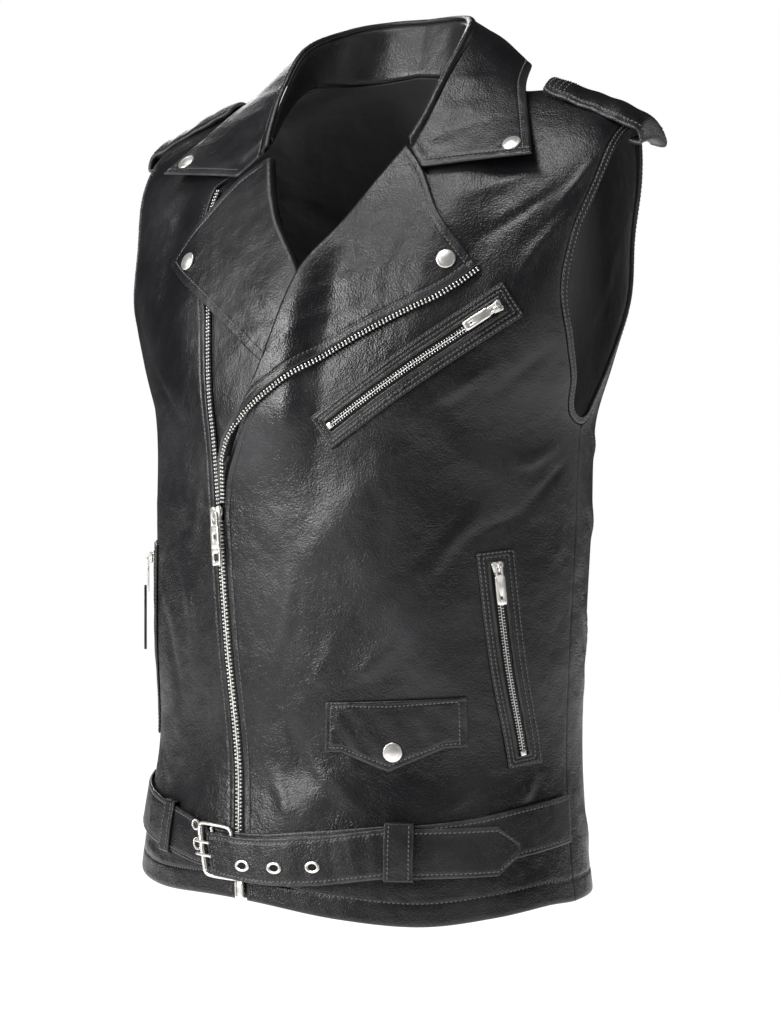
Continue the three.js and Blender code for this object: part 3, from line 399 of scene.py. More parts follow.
def right_edge(r):
    """x and z of the right front's inner edge: along the tape to the collar, then the neck."""
    share, turn = 0.84, 0.92
    z = edge_height(r, -86, share)
    x = zip_x(z) - HALF_TAPE - 1.4 * smooth((z + 205) / 30)
    t = np.clip((r - share) / (turn - share), 0, 1)
    q = np.clip((r - turn) / (1 - turn), 0, 1)
    shoulder = lerp(zip_x(-86.0) - HALF_TAPE - 1.4, -73, t)
    x = np.where(r > turn, lerp(-73, -NECK_END[0], q), np.where(r > share, shoulder, x))
    z = np.where(r > turn, lerp(-58, NECK_END[1], q ** 0.8), np.where(r > share, lerp(-86, -58, t), z))
    return x, z


# Meshes
MM = 0.001
FINAL = "_final"  # after a piece's name, to tell it from the solid


def outward(points, faces):
    """Faces turned about if the volume under them, a sum of wedges from the origin, is negative."""
    volume = sum(np.sum(points[f[:, 0]] * np.cross(points[f[:, i]], points[f[:, i + 1]]))
                 for f in faces for i in range(1, f.shape[1] - 1))
    return [f[:, ::-1] for f in faces] if volume < 0 else faces


def make(name, points, faces, materials, which=None, edge=None, turned=True):
    """A mesh object from points in mm and arrays of faces; which gives each face's material, and edge is how
    rubbed each point is, which on the strap leather also paints a highlight."""
    points = np.asarray(points, float).reshape(-1, 3)
    if turned:
        faces = outward(points, faces)
    data = bpy.data.meshes.new(name)
    data.vertices.add(len(points))
    data.vertices.foreach_set("co", (points * MM).astype(np.float32).ravel())
    sizes = np.concatenate([np.full(len(f), f.shape[1]) for f in faces])
    loops = np.concatenate([f.ravel() for f in faces]).astype(np.int32)
    data.loops.add(len(loops))
    data.loops.foreach_set("vertex_index", loops)
    data.polygons.add(len(sizes))
    data.polygons.foreach_set("loop_start", np.concatenate([[0], np.cumsum(sizes)[:-1]]).astype(np.int32))
    data.polygons.foreach_set("use_smooth", np.ones(len(sizes), bool))
    for m in materials:
        data.materials.append(m)
    if which is not None:
        data.polygons.foreach_set("material_index", np.asarray(which, np.int32))
    data.update(calc_edges=True)
    data.validate()
    if edge is not None:
        # How much of the lighter grey each point takes: wear, and on the strap leather also a painted
        # highlight
        edge_grey = data.attributes.new("edge", "FLOAT", "POINT").data
        edge_grey.foreach_set("value", np.asarray(edge, np.float32).ravel())
    o = bpy.data.objects.new(name + FINAL, data)
    bpy.context.scene.collection.objects.link(o)
    return o


def quads(ids):
    """Four corners of every cell of a grid of vertex numbers."""
    return np.stack([ids[:-1, :-1], ids[:-1, 1:], ids[1:, 1:], ids[1:, :-1]], -1).reshape(-1, 4)


def shell(name, outer, inner, materials, edge):
    """A closed piece of two grids of points that share their rim; the first material is the outer face's. It
    is a leather piece of the vest and stands for the solid of its name."""
    rows, columns = outer.shape[:2]
    ids = np.arange(rows * columns).reshape(rows, columns)
    rim = np.ones((rows, columns), bool)
    rim[1:-1, 1:-1] = False
    under = np.where(rim, ids, 0)
    under[~rim] = rows * columns + np.arange((~rim).sum())
    points = np.concatenate([outer.reshape(-1, 3), inner[~rim]])
    faces = [quads(ids), quads(under)[:, ::-1]]
    which = np.repeat([0, min(1, len(materials) - 1)], len(faces[0]))
    # Lighter grey of every point: wear, and on the strap leather also a painted highlight
    rim_wear_and_highlight = np.concatenate([edge.ravel(), edge[~rim]])
    return rides(make(name, points, faces, materials, which, rim_wear_and_highlight), "vest", "leather", name)


def rounded(d, radius):
    """Half a round edge: 0 on the rim, 1 from the radius on, a quarter circle between."""
    return np.sqrt(np.clip(1 - (1 - np.clip(d / radius, 0, 1)) ** 2, 0, 1))


def reach(points, axis):
    """Length along a grid's lines from their first point."""
    step = np.linalg.norm(np.diff(points, axis=axis), axis=-1)
    start = np.zeros_like(np.take(step, [0], axis))
    return np.concatenate([start, np.cumsum(step, axis)], axis)


def rims(points):
    """Distances of a grid's points from its four rims: first row, last row, first column, last column."""
    down, over = reach(points, 0), reach(points, 1)
    return down, down[-1:] - down, over, over[:, -1:] - over


# Distances from a rim, in mm, at which every sewn edge has its own grid lines
EDGE_LINES = [0, 0.35, 0.9, 1.7, 2.8, 3.8, 4.7, 5.4, 6.1, 6.8, 7.6, 8.8, 10.5, 13]


def lines(length, step, first=True, last=True):
    """Grid lines from 0 to 1 over a length: close beside the sewn rims, then evenly spaced."""
    near = np.array(EDGE_LINES) / length
    low = near if first else np.array([0])
    high = 1 - near[::-1] if last else np.array([1])
    count = max(int((high[0] - low[-1]) * length / step), 2)
    return np.concatenate([low, np.linspace(low[-1], high[0], count + 1)[1:-1], high])


def seam_dip(d, at_mm, s=0, deep=0.5, wide=0.85):
    """A sewn line pressed into the leather: a narrow bell across it, with small uneven puckers beside it."""
    pucker = np.sin(s / 1.9) * np.sin(s / 7.3 + 1) + 0.6 * np.sin(s / 3.1 + 2)
    return (-deep * np.exp(-(((d - at_mm) / wide) ** 2))
            + 0.16 * pucker * np.exp(-(((d - at_mm) / 4.2) ** 2)))


def ring_ids(rings):
    """Vertex numbers of rings of points, the first of each ring once more at its end."""
    ids = np.arange(rings.shape[0] * rings.shape[1]).reshape(rings.shape[:2])
    return np.concatenate([ids, ids[:, :1]], 1)


def lofted(rings):
    """A closed shape (points and faces) from rings: quads between them, a fan at both ends."""
    rings = np.asarray(rings, float)
    ids, last, m = ring_ids(rings), rings.shape[0] * rings.shape[1], rings.shape[1]
    points = np.concatenate([rings.reshape(-1, 3), [rings[0].mean(0), rings[-1].mean(0)]])
    return points, [quads(ids), np.stack([ids[0, 1:], ids[0, :-1], np.full(m, last)], -1),
                    np.stack([ids[-1, :-1], ids[-1, 1:], np.full(m, last + 1)], -1)]


def closed_ring(rings):
    """Points and faces of rings that close on themselves both ways."""
    ids = ring_ids(rings)
    return rings.reshape(-1, 3), [quads(np.concatenate([ids, ids[:1]], 0))]


def joined(name, pieces, materials):
    """Several closed pieces (points, faces) as one mesh."""
    points, groups, shift = [], {}, 0
    for p, faces in pieces:
        p = np.asarray(p).reshape(-1, 3)
        points.append(p)
        for f in outward(p - p.mean(0), faces):
            groups.setdefault(f.shape[1], []).append(f + shift)
        shift += len(p)
    faces = [np.concatenate(g) for g in groups.values()]
    return make(name, np.concatenate(points), faces, materials, turned=False)


def frames(path, normals):
    """Along, across and up at each point of a path: across is up crossed with along."""
    ahead = unit(np.gradient(path, axis=0))
    across = unit(np.cross(normals, ahead))
    return ahead, across, np.cross(ahead, across)


def run(line):
    """Points and normals of a line that is given as a function of its height over the surface."""
    p = line(0.0)
    return p, unit(line(1.0) - p)


def way_along(path):
    """Length along a path from its first point to each of its points."""
    return np.concatenate([[0], np.cumsum(np.linalg.norm(np.diff(path, axis=0), axis=1))])


def spaced(path, normals, pitch, start=0.5, loop=False):
    """Even stations along a path: place, along, across and up of each."""
    if loop:
        path, normals = np.concatenate([path, path[:1]]), np.concatenate([normals, normals[:1]])
    far = way_along(path)
    count = max(int(round(far[-1] / pitch)), 1)
    key = (np.arange(count) + start) * far[-1] / count
    read = lambda q, rows: np.stack([np.interp(q, far, rows[:, i]) for i in range(3)], -1)
    p, n = read(key, path), unit(read(key, normals))
    t = unit(read(np.minimum(key + pitch * 0.4, far[-1]), path)
             - read(np.maximum(key - pitch * 0.4, 0), path))
    b = unit(np.cross(n, t))
    return p, t, b, np.cross(t, b)


def tube(name, rings, material, edge=None, closed=True):
    """A piece of rings joined one to the next; open rows of rings get a cap at both ends."""
    return make(name, *(closed_ring(rings) if closed else lofted(rings)), [material], edge=edge)


def metal(name, *pieces, body_name="vest"):
    """Closed pieces of nickel as one mesh, which stands for the solid of its name."""
    return rides(joined(name, pieces, [NICKEL]), body_name, "nickel", name)


STITCH_PITCH = 3.6


def seam(line, pitch=STITCH_PITCH, loop=False):
    """Stations of the stitches along a line that is given as a function of its height."""
    return spaced(*run(line), pitch, loop=loop)


def placed(points, stations):
    """A small shape's points, given along, across and up, at every station."""
    p, t, b, n = (q[:, None] for q in stations)
    return p + t * points[None, :, :1] + b * points[None, :, 1:2] + n * points[None, :, 2:]


def stamp(name, shape, stations, materials):
    """One small closed shape (points and faces) set at every station, as a single mesh."""
    points, faces = shape
    faces = outward(points, faces)
    world = placed(points, [np.concatenate(q) for q in zip(*stations)])
    shift = np.arange(len(world))[:, None, None] * len(points)
    faces = [(f[None] + shift).reshape(-1, f.shape[1]) for f in faces]
    return make(name, world, faces, materials, turned=False)


# Materials
def node(tree, kind, inputs=None, **settings):
    """One shader node with its settings; an input is a value or another node's socket."""
    n = tree.nodes.new(kind)
    for key, value in settings.items():
        setattr(n, key, value)
    for key, value in (inputs or {}).items():
        if isinstance(value, bpy.types.NodeSocket):
            tree.links.new(value, n.inputs[key])
        else:
            n.inputs[key].default_value = value
    return n


def maths(tree, operation, a, b=0.0, clamp=False):
    """A Math node's result; each side is a number or a socket."""
    return node(tree, "ShaderNodeMath", {0: a, 1: b}, operation=operation, use_clamp=clamp).outputs[0]


def blend_colours(tree, share, a, b):
    """A colour between a and b by a mask."""
    n = node(tree, "ShaderNodeMix", {0: share, 6: a, 7: b}, data_type="RGBA")
    return n.outputs[2]


def object_place(tree):
    """A point's place on its own object, in metres."""
    return node(tree, "ShaderNodeTexCoord").outputs["Object"]


def noise(tree, place, scale, detail=2.0, **more):
    """A noise texture's first output."""
    inputs = {"Vector": place, "Scale": scale, "Detail": detail, **more}
    return node(tree, "ShaderNodeTexNoise", inputs).outputs[0]


def bands(tree, place, scale, direction, **more):
    """Stripes of a wave texture."""
    inputs = {"Vector": place, "Scale": scale, **more}
    return node(tree, "ShaderNodeTexWave", inputs, bands_direction=direction).outputs["Fac"]


def ranged(tree, value, low, high, source=(0, 1)):
    """A value carried from the source's range to the one from low to high."""
    inputs = {0: value, 1: source[0], 2: source[1], 3: low, 4: high}
    return node(tree, "ShaderNodeMapRange", inputs).outputs[0]


def bump(tree, height, distance, **more):
    """A normal that is tilted by a height."""
    return node(tree, "ShaderNodeBump", {"Height": height, "Distance": distance, **more}).outputs[0]


def feed(material, **values):
    """Links a material's Principled shader to the sockets that give its values."""
    tree = material.node_tree
    for key, socket in values.items():
        tree.links.new(socket, tree.nodes["Principled BSDF"].inputs[key.replace("_", " ")])
    return material


def hide_group():
    """Grain and wear of a leather: pores from cell noise, fine wrinkles, soft dents, and patches that are
    more or less rubbed."""
    g = bpy.data.node_groups.new("hide grain", "ShaderNodeTree")
    g.interface.new_socket("Size", in_out="INPUT", socket_type="NodeSocketFloat").default_value = 1.0
    for name in ("Fine", "Broad", "Patch"):
        g.interface.new_socket(name, in_out="OUTPUT", socket_type="NodeSocketFloat")
    given, out = g.nodes.new("NodeGroupInput"), g.nodes.new("NodeGroupOutput")
    scaled = {0: object_place(g), "Scale": given.outputs["Size"]}
    sized = node(g, "ShaderNodeVectorMath", scaled, operation="SCALE").outputs[0]
    warp = node(g, "ShaderNodeTexNoise", {"Vector": sized, "Scale": 90.0, "Detail": 2.0}).outputs["Color"]
    shifted = {0: warp, 1: (0.004, 0.004, 0.004), 2: sized}
    moved = node(g, "ShaderNodeVectorMath", shifted, operation="MULTIPLY_ADD").outputs[0]
    cells = {"Vector": moved, "Scale": 780.0, "Randomness": 1.0}
    pores = node(g, "ShaderNodeTexVoronoi", cells, feature="SMOOTH_F1").outputs["Distance"]
    grit = noise(g, sized, 1300.0)
    fine = maths(g, "ADD", maths(g, "MULTIPLY", pores, -0.9), maths(g, "MULTIPLY", grit, 0.35))
    dents = noise(g, sized, 30.0, Roughness=0.45)
    wrinkles = noise(g, moved, 95.0, 4.0, Roughness=0.55, Distortion=0.4)
    broad = maths(g, "ADD", maths(g, "MULTIPLY", wrinkles, 0.22), dents)
    patch = noise(g, sized, 11.0, 5.0, Roughness=0.6)
    for socket, value in (("Fine", fine), ("Broad", broad), ("Patch", patch)):
        g.links.new(value, out.inputs[socket])
    return g


def start_material(name, **values):
    """A new material and its nodes, with constant values set on its Principled shader's own sockets."""
    m = bpy.data.materials.new(name)
    m.use_nodes = True
    shader = m.node_tree.nodes["Principled BSDF"]
    for key, value in values.items():
        shader.inputs[key.replace("_", " ")].default_value = value
    return m, m.node_tree


GRAIN_DEPTH = 0.00028  # metres


def leather(name, dark, edge_grey, size, dent_depth, rough):
    """Black lambskin: grain and dents by bump, greyer where it is rubbed at edges and on ridges; on the strap
    leather that lighter grey is also a painted highlight.
    """
    m, t = start_material(name, Specular_IOR_Level=0.45, Coat_Weight=0.04, Coat_Roughness=0.25)
    hide = node(t, "ShaderNodeGroup", {}, node_tree=HIDE)
    hide.inputs["Size"].default_value = size
    edge = node(t, "ShaderNodeAttribute", attribute_name="edge").outputs["Fac"]
    patch = ranged(t, hide.outputs["Patch"], 0, 1, (0.42, 0.68))
    at_edges = maths(t, "MULTIPLY", edge, maths(t, "ADD", patch, 0.35))
    # Share of the lighter grey: rubbed wear, and on the strap leather also a painted highlight at edges and
    # seam ridges
    wear_and_highlight = maths(t, "ADD", at_edges, maths(t, "MULTIPLY", patch, 0.22), True)
    broad = bump(t, hide.outputs["Broad"], dent_depth, Strength=1.0)
    return feed(m, Base_Color=blend_colours(t, wear_and_highlight, (*dark, 1), (*edge_grey, 1)),
                Roughness=ranged(t, hide.outputs["Patch"], *rough, (0.3, 0.7)),
                Normal=bump(t, hide.outputs["Fine"], GRAIN_DEPTH, Strength=1.0, Normal=broad))


def lining_cloth():
    """Black satin lining: smooth, with a soft weave and slack puckers."""
    m, t = start_material("black lining", Sheen_Weight=0.25, Sheen_Roughness=0.4, Specular_IOR_Level=0.4)
    place = object_place(t)
    slack = noise(t, place, 26.0, 3.0)
    weave = bands(t, place, 420.0, "DIAGONAL", Distortion=0.4)
    return feed(m, Base_Color=blend_colours(t, weave, (0.006, 0.006, 0.007, 1), (0.014, 0.014, 0.016, 1)),
                Roughness=ranged(t, slack, 0.42, 0.62),
                Normal=bump(t, weave, 0.00008, Normal=bump(t, slack, 0.003)))


def woven_tape():
    """Black woven zip tape: fine ribs across two directions."""
    m, t = start_material("woven tape", Sheen_Weight=0.2, Specular_IOR_Level=0.3)
    place = object_place(t)
    weave = maths(t, "MULTIPLY", bands(t, place, 330.0, "Z"), bands(t, place, 330.0, "X"))
    return feed(m, Base_Color=blend_colours(t, weave, (0.005, 0.005, 0.005, 1), (0.02, 0.02, 0.022, 1)),
                Roughness=ranged(t, weave, 0.85, 0.65), Normal=bump(t, weave, 0.0002))


def plated(name, bright, dull, rough):
    """Plated metal: a warm silver with smudges, faint scratches and a little tarnish."""
    m, t = start_material(name, Metallic=0.88)
    place = object_place(t)
    smudge = noise(t, place, 160.0, 4.0)
    thin = node(t, "ShaderNodeMapping", {"Vector": place, "Scale": (900.0, 2600.0, 240.0)}).outputs[0]
    share = ranged(t, smudge, 0, 1, (0.45, 0.75))
    return feed(m, Base_Color=blend_colours(t, share, (*bright, 1), (*dull, 1)),
                Roughness=ranged(t, smudge, *rough, (0.3, 0.8)),
                Normal=bump(t, noise(t, thin, 1.0), 0.000006))


def sewing_thread():
    """Twisted black thread with a soft gloss; its lighter twist stripes are partly a painted glint."""
    m, t = start_material("sewing thread", Sheen_Weight=0.3, Specular_IOR_Level=0.5)
    twist_and_glint = bands(t, object_place(t), 700.0, "DIAGONAL")
    # The pale stripes are the thread's twist and also a painted glint
    return feed(m, Base_Color=blend_colours(t, twist_and_glint, (0.02, 0.02, 0.021, 1), (0.11, 0.11, 0.115, 1)),
                Roughness=ranged(t, twist_and_glint, 0.6, 0.42))


HIDE = hide_group()
LEATHER = leather("black lambskin", (0.0052, 0.0052, 0.0062), (0.026, 0.0255, 0.028), 1.0, 0.0023,
                  (0.27, 0.46))
# The strap leather's lighter rubbed grey is wear and also a painted highlight along the straps' edges and
# seam ridges
STRAP_LEATHER = leather("black strap leather", (0.0065, 0.0065, 0.0075), (0.038, 0.0375, 0.039), 1.15, 0.0018,
                        (0.27, 0.44))
LINING = lining_cloth()
TAPE = woven_tape()
NICKEL = plated("brushed nickel", (0.88, 0.86, 0.82), (0.72, 0.69, 0.64), (0.28, 0.42))
TEETH = plated("nickel teeth", (0.86, 0.85, 0.82), (0.66, 0.65, 0.62), (0.26, 0.42))
THREAD = sewing_thread()
# A near-black matte disc in each eyelet: painted shade where the hole would be
HOLE_SHADE = start_material("dark hole", Base_Color=(0.002, 0.002, 0.002, 1), Roughness=0.9)[0]


def rides(o, body_name, slot_name, *replaced):
    """The piece moves with its body and stands for CAD nodes, which it hides; slot_name is not used."""
    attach(o, body_name)
    if replaced:
        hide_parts(*replaced)
    return o


# Panels
HALF = WALL / 2
HEM_STITCH = 17.5
ZIP_STITCH = 5.6
LOW_ROWS = 380  # mm that the rows below the underarm cover
PANEL_ROUND = 1.4  # radius of a panel's cut edges


def hem_step(hem):
    """The doubled leather between a hem's stitching and its edge stands a little higher."""
    return 0.35 * smooth((HEM_STITCH - hem) / 3) * smooth(hem / 4)


def panel_rows():
    """Rows of the panels: hem to underarm, then to the shoulder, with lines beside the hem's stitching."""
    beside = (HEM_STITCH + np.array([-1.4, -0.7, 0, 0.7, 1.4])) / LOW_ROWS
    low = np.unique(np.concatenate([lines(LOW_ROWS, 2.7, True, False), beside]))
    return np.concatenate([SPLIT * low, SPLIT + (1 - SPLIT) * lines(300, 2.7, False, True)[1:]])


def edge_wear_and_highlight(d, raised):
    """How rubbed a place is: close to a rim, and on the tops of the creases; on the strap leather this also
    places a painted highlight.
    """
    return np.clip(np.exp(-d / 2.2) + 0.22 * np.clip(raised, 0, 3), 0, 1)


def front_panel(name, edge, sign, width):
    """A front: turn and level run evenly from its inner edge to its outer one; the rims are rounded."""
    r = panel_rows()
    u = lines(width, 2.7)
    x, z = edge(r)
    inner_a = turn_at(x, z)
    inner_v = np.where(r > 1 - 1e-9, 1, level_at(inner_a, z))
    outer_a, outer_v = outer_end(r, sign, False)
    a = lerp(inner_a[:, None], outer_a[:, None], u)
    low = np.maximum(0, 1 - r / SPLIT)[:, None]
    v = lerp(inner_v[:, None], outer_v[:, None], u) - low * curve(HEM_SAG, np.degrees(a), 1) / LEVEL
    p = face(a, v)
    x, z = p[..., 0], p[..., 2]
    height = worn(x, z)
    hem, top, inside, outside = rims(p)
    d = np.minimum.reduce([hem, top, inside, outside])
    below_collar = smooth((-95 - z) / 20)
    dip = (seam_dip(inside, ZIP_STITCH, hem) * below_collar + seam_dip(hem, HEM_STITCH, inside, 0.35)
           + hem_step(hem))
    full = rounded(d, PANEL_ROUND)
    outer = lift(a, v, height - HALF + full * (HALF + dip))
    inner = lift(a, v, height - HALF - full * HALF)
    return shell(name, outer, inner, [LEATHER, LINING], edge_wear_and_highlight(d, height - folds(x, z) * 0.5))


BACK_NECK_DIP = 0.205


def back_top(x):
    """Level of the back's top edge: the shoulder line, then the round of the neck."""
    return 1 - BACK_NECK_DIP * np.maximum(0, 1 - (x / NECK_X) ** 2) ** 0.62


def back_point(s, r, h):
    """The back's point by share s from side to side, row r and height h, with its turn and level."""
    end_a, end_v = outer_end(r, 1, True)
    low = outer_end(np.zeros(1), 1, True)[1][0]
    a = lerp(s, s ** 3, 0.44) * end_a
    hem = level_at(a, lerp(HEM["side"], HEM["back"], np.cos(a) ** 2))
    v = lerp(hem, back_top(face(a, np.full_like(a, 0.9), True)[..., 0]), (end_v - low) / (1 - low))
    return lift(a, v, h, True), a, v


def back_panel():
    """The back in one piece from side seam to side seam, with its creases and a lower hem."""
    r = panel_rows()[:, None]
    s = (lines(400, 2.9) * 2 - 1)[None]
    s, r = np.broadcast_arrays(s, r)
    p, a, v = back_point(s, r, 0)
    hem, top, one, other = rims(p)
    d = np.minimum.reduce([hem, top, one, other])
    still = smooth((d - 6) / 30) * smooth((top - 12) / 30)
    height = creases(BACK_CREASES, a, p[..., 2]) * still
    dip = seam_dip(hem, HEM_STITCH, one, 0.35) + seam_dip(top, 6.5, one, 0.3) + hem_step(hem)
    full = rounded(d, PANEL_ROUND)
    outer = lift(a, v, height - HALF + full * (HALF + dip), True)
    inner = lift(a, v, height - HALF - full * HALF, True)
    return shell("back", outer, inner, [LEATHER, LINING], edge_wear_and_highlight(d, height))


UNDER = 3.5
UNDERLAP_EDGE = [[-652, 30], [-520, 22], [-346, 8], [-280, 12], [-234, 10]]


def underlap():
    """The right front carries on under the left one, up to the right lapel's roll line."""
    u, v = np.meshgrid(lines(80, 3.5), lines(600, 3.5))
    share, bend_z = 0.7, UNDERLAP_EDGE[-1][0]
    zl = lerp(HEM["front"] + 1, -84, v)
    xl = zip_x(zl) - HALF_TAPE - 8
    zr = np.where(v < share, lerp(HEM["front"] + 1, bend_z, v / share),
                  lerp(bend_z, -66, (v - share) / (1 - share)))
    xr = np.where(v < share, curve(UNDERLAP_EDGE, zr, 1), curve(RIGHT_ROLL, zr, 1) - 4)
    x, z = lerp(xl, xr, u), lerp(zl, np.where(v < share, zr, zr - 2), u)
    d = np.minimum.reduce(rims(at(x, z, 0)))
    full = rounded(d, 1.0)
    outer, inner = at(x, z, -UNDER - 1 + full), at(x, z, -UNDER - 1 - full)
    return shell("underlap_right", outer, inner, [LEATHER, LINING], edge_wear_and_highlight(d, 0 * d))


# Lapels: a turn round the roll line, then a leaf that lies over the front
def resample(rows, steps):
    """Rows of a line at even lengths, smoothed by the same curve as the tables."""
    rows = np.asarray(rows, float)
    far = np.concatenate([[0], np.cumsum(np.hypot(*np.diff(rows, axis=0).T))])
    keyed = np.column_stack([far / far[-1], rows])
    q = np.linspace(0, 1, steps + 1)
    return np.stack([curve(keyed, q, 1), curve(keyed, q, 2)], -1)


def pick(rows, t):
    """A place on evenly spaced rows, on the straight line between the two nearest."""
    q = np.linspace(0, 1, len(rows))
    return np.interp(t, q, rows[:, 0]), np.interp(t, q, rows[:, 1])


LAPEL_LEFT = {
    "roll": resample([[-41, -300], [-30, -279], [-18, -257], [-6, -226], [10, -166], [40, -113],
                      [67, -64]], 24),
    "out": resample([[-43.5, -306], [-25.6, -271], [19, -236.5], [61, -211], [100.5, -190], [130, -174.5],
                     [149, -157.5]], 24),
    "top": resample([[67, -64], [88, -83], [113, -117], [149, -157.5]], 12),
    "start": -1.2, "turn": 2.9, "edge": 3.0, "thick": 2.8, "base": overlap,
}
LAPEL_RIGHT = {
    "roll": resample([[13.5, -230], [12.5, -200], [8, -166], [-35, -113], [-63, -66]], 24),
    "out": resample([[11, -244], [-19, -226], [-60, -200], [-94, -179], [-143.5, -151]], 24),
    "top": resample([[-63, -66], [-88, -82], [-112, -111], [-143.5, -151]], 12),
    "start": -4.5, "turn": 3.5, "edge": 3.1, "thick": 2.8, "base": lambda x, z: 0 * x,
}
FOLD_SHARE = 0.3  # share of a lapel's grid that goes round the roll line
# Wrinkles of the lapels: x, z, length, width, lean, height
LAPEL_CREASES = [
    [40, -140, 46, 6, 60, 0.7], [60, -120, 40, 5, 48, -0.6], [58, -165, 60, 7, 70, 0.7],
    [20, -205, 60, 8, 56, 0.8], [82, -150, 40, 6, 20, 0.5], [70, -185, 60, 7, 62, -0.5],
    [-5, -245, 50, 7, 48, 0.6], [104, -150, 34, 6, -40, 0.5], [-40, -120, 44, 6, -56, 0.7],
    [-60, -105, 34, 5, -40, -0.5], [-62, -150, 60, 7, -66, 0.6], [-20, -180, 56, 7, -58, 0.7],
    [-90, -140, 44, 6, -20, 0.5], [-50, -185, 50, 6, -62, -0.4], [-8, -215, 44, 6, -50, 0.5],
]


def lapel_point(L, w, t, h):
    """w runs from the root (0) round the roll line to the outer edge (1), t along the roll, h from the
    middle layer: half a circle round the roll, then a leaf that settles onto the front and whose top follows
    the notch line."""
    w, t, h = together(w, t, h)
    (rx, rz), (ox, oz) = pick(L["roll"], t), pick(L["out"], t)
    far = np.hypot(ox - rx, oz - rz)
    turn = np.minimum(L["turn"], far * 0.28)
    f = np.clip(w / FOLD_SHARE, 0, 1) * np.pi
    q = np.clip((w - FOLD_SHARE) / (1 - FOLD_SHARE), 0, 1)
    leaf = w >= FOLD_SHARE
    e = np.where(leaf, lerp(turn, far, q), turn - (turn + h) * np.sin(f))
    up = np.where(leaf, lerp(L["start"] + 2 * turn, L["edge"], smooth(q * 1.15)) + h,
                  L["start"] + turn - (turn + h) * np.cos(f))
    q = np.clip(e / far, 0, 1)
    (tx, tz), (ex, ez), (gx, gz) = pick(L["top"], q), L["roll"][-1], L["out"][-1]
    pull = t ** 3
    x = rx + (ox - rx) * e / far + pull * (tx - lerp(ex, gx, q))
    z = rz + (oz - rz) * e / far + pull * (tz - lerp(ez, gz, q))
    up = up + np.where(leaf, ridges(LAPEL_CREASES, x, z) * smooth(q * 3) * smooth((1 - q) * 6), 0)
    return at(x, z, up + L["base"](x, z))


LAPEL_STITCH = 6.6


def lapel(name, L):
    """One lapel, closed, with its stitched rim pressed in."""
    turn = np.linspace(0, FOLD_SHARE, 13)
    w = np.concatenate([turn, FOLD_SHARE + (1 - FOLD_SHARE) * lines(95, 2.0, False, True)[1:]])[None]
    t = lines(230, 2.4)[:, None]
    p = lapel_point(L, w, t, 0 * w * t)
    start, notch, root, out = rims(p)
    d = np.minimum.reduce([start + 0.5 * root, notch, root, out])
    full = rounded(d, 1.5)
    half = L["thick"] / 2
    dip = (seam_dip(out, LAPEL_STITCH, start, 0.5)
           + seam_dip(notch, LAPEL_STITCH, root, 0.5)) * (w > FOLD_SHARE)
    outer, inner = lapel_point(L, w, t, full * (half + dip)), lapel_point(L, w, t, -full * half)
    d = np.minimum.reduce([notch, out])
    return shell(name, outer, inner, [LEATHER], edge_wear_and_highlight(d, 0.8 * seam_ridge(d)))


def seam_ridge(d):
    """The padded roll between a rim and its stitching, which is rubbed most; on the strap leather its lighter
    grey is also a painted highlight.
    """
    return np.exp(-(((d - 3) / 2.2) ** 2))


# Collar by s from -1 (right front end) through 0 (middle of the back) to 1 (left front end)
# s, neckline x y z, fold x y z, outer edge x y z
COLLAR = [
    [0, 0, 67.8, 5.6, 0, 84, 53, 0, 117, -6],
    [0.2, 31, 64.4, 2.6, 34, 78, 52.5, 50, 108, -4],
    [0.38, 55, 54, 1.2, 60, 55, 46, 92, 84, 3],
    [0.55, 73.6, 31, -0.4, 79, 19, 29, 121, 48, 4],
    [0.72, 74.8, -3, -18, 79, -12, -6, 138, 12, -16],
    [0.87, 74.3, -25, -41, 75.5, -33, -37, 159, -18, -46],
    [1, 70.5, -44, -62, 71, -45.5, -55.5, 178, -45, -73],
]
TURN, TURN_SHARE = 2.6, 0.16
# Where the fall's end follows the lapel's top: share of the way to the outer edge, x, y, z
GORGE = [[TURN_SHARE, 71.2, -49.8, -63.2], [0.26, 88.7, -59, -80]]


def collar_point(s, column):
    k = np.abs(s)
    x, y, z = (curve(COLLAR, k, column + i) for i in range(3))
    return vec(np.where(s < 0, -1, 1) * x, y, z)


def collar_frame(s):
    """For each s: fold, neckline, outer edge, the stand's height, the stand's direction and the way out."""
    fold, neck, edge = collar_point(s, 4), collar_point(s, 1), collar_point(s, 7)
    stand = fold - neck
    high = smooth(np.linalg.norm(stand, axis=-1) / 30)[..., None]
    flat = (edge - fold) * [1, 1, 0]
    return fold, neck, edge, high, unit(stand), unit(flat)


def fall_base(s, t):
    """Middle layer of the fall: half a circle over the fold, then a leaf bowed outwards to the outer edge."""
    fold, _, edge, high, stand, flat = collar_frame(s)
    t = t[..., None]
    f = np.minimum(t / TURN_SHARE, 1) * np.pi
    p = fold - flat * TURN * np.cos(f) + stand * (TURN * np.sin(f) * lerp(0.6, 1, high) - 2.4 * high)
    q = np.clip((t - TURN_SHARE) / (1 - TURN_SHARE), 0, 1)
    bow = 8 * high * np.sin(q * np.pi) * (1 - q * 0.4) * 0.55
    return lerp(p, edge, q) + (flat + np.array([0, 0, 1.0])) * bow


def fall_middle(s, t):
    """The fall with its end edges drawn to the gorge line, then left free for the tips."""
    s, t = together(s, t)
    sign = np.where(s < 0, -1.0, 1.0)
    near = smooth((np.abs(s) - 0.74) / 0.26)[..., None]
    p = fall_base(s, t)
    pulls = []
    for share, x, y, z in GORGE:
        pulls.append(vec(sign * x, y, z) - fall_base(sign, np.full_like(sign, share)))
    k = t[..., None]
    (k0, *_), (k1, *_) = GORGE
    pull = np.where(k < k0, pulls[0] * k / k0,
                    np.where(k < k1, lerp(pulls[0], pulls[1], (k - k0) / (k1 - k0)),
                             pulls[1] * (1 - k) / (1 - k1)))
    return p + pull * near


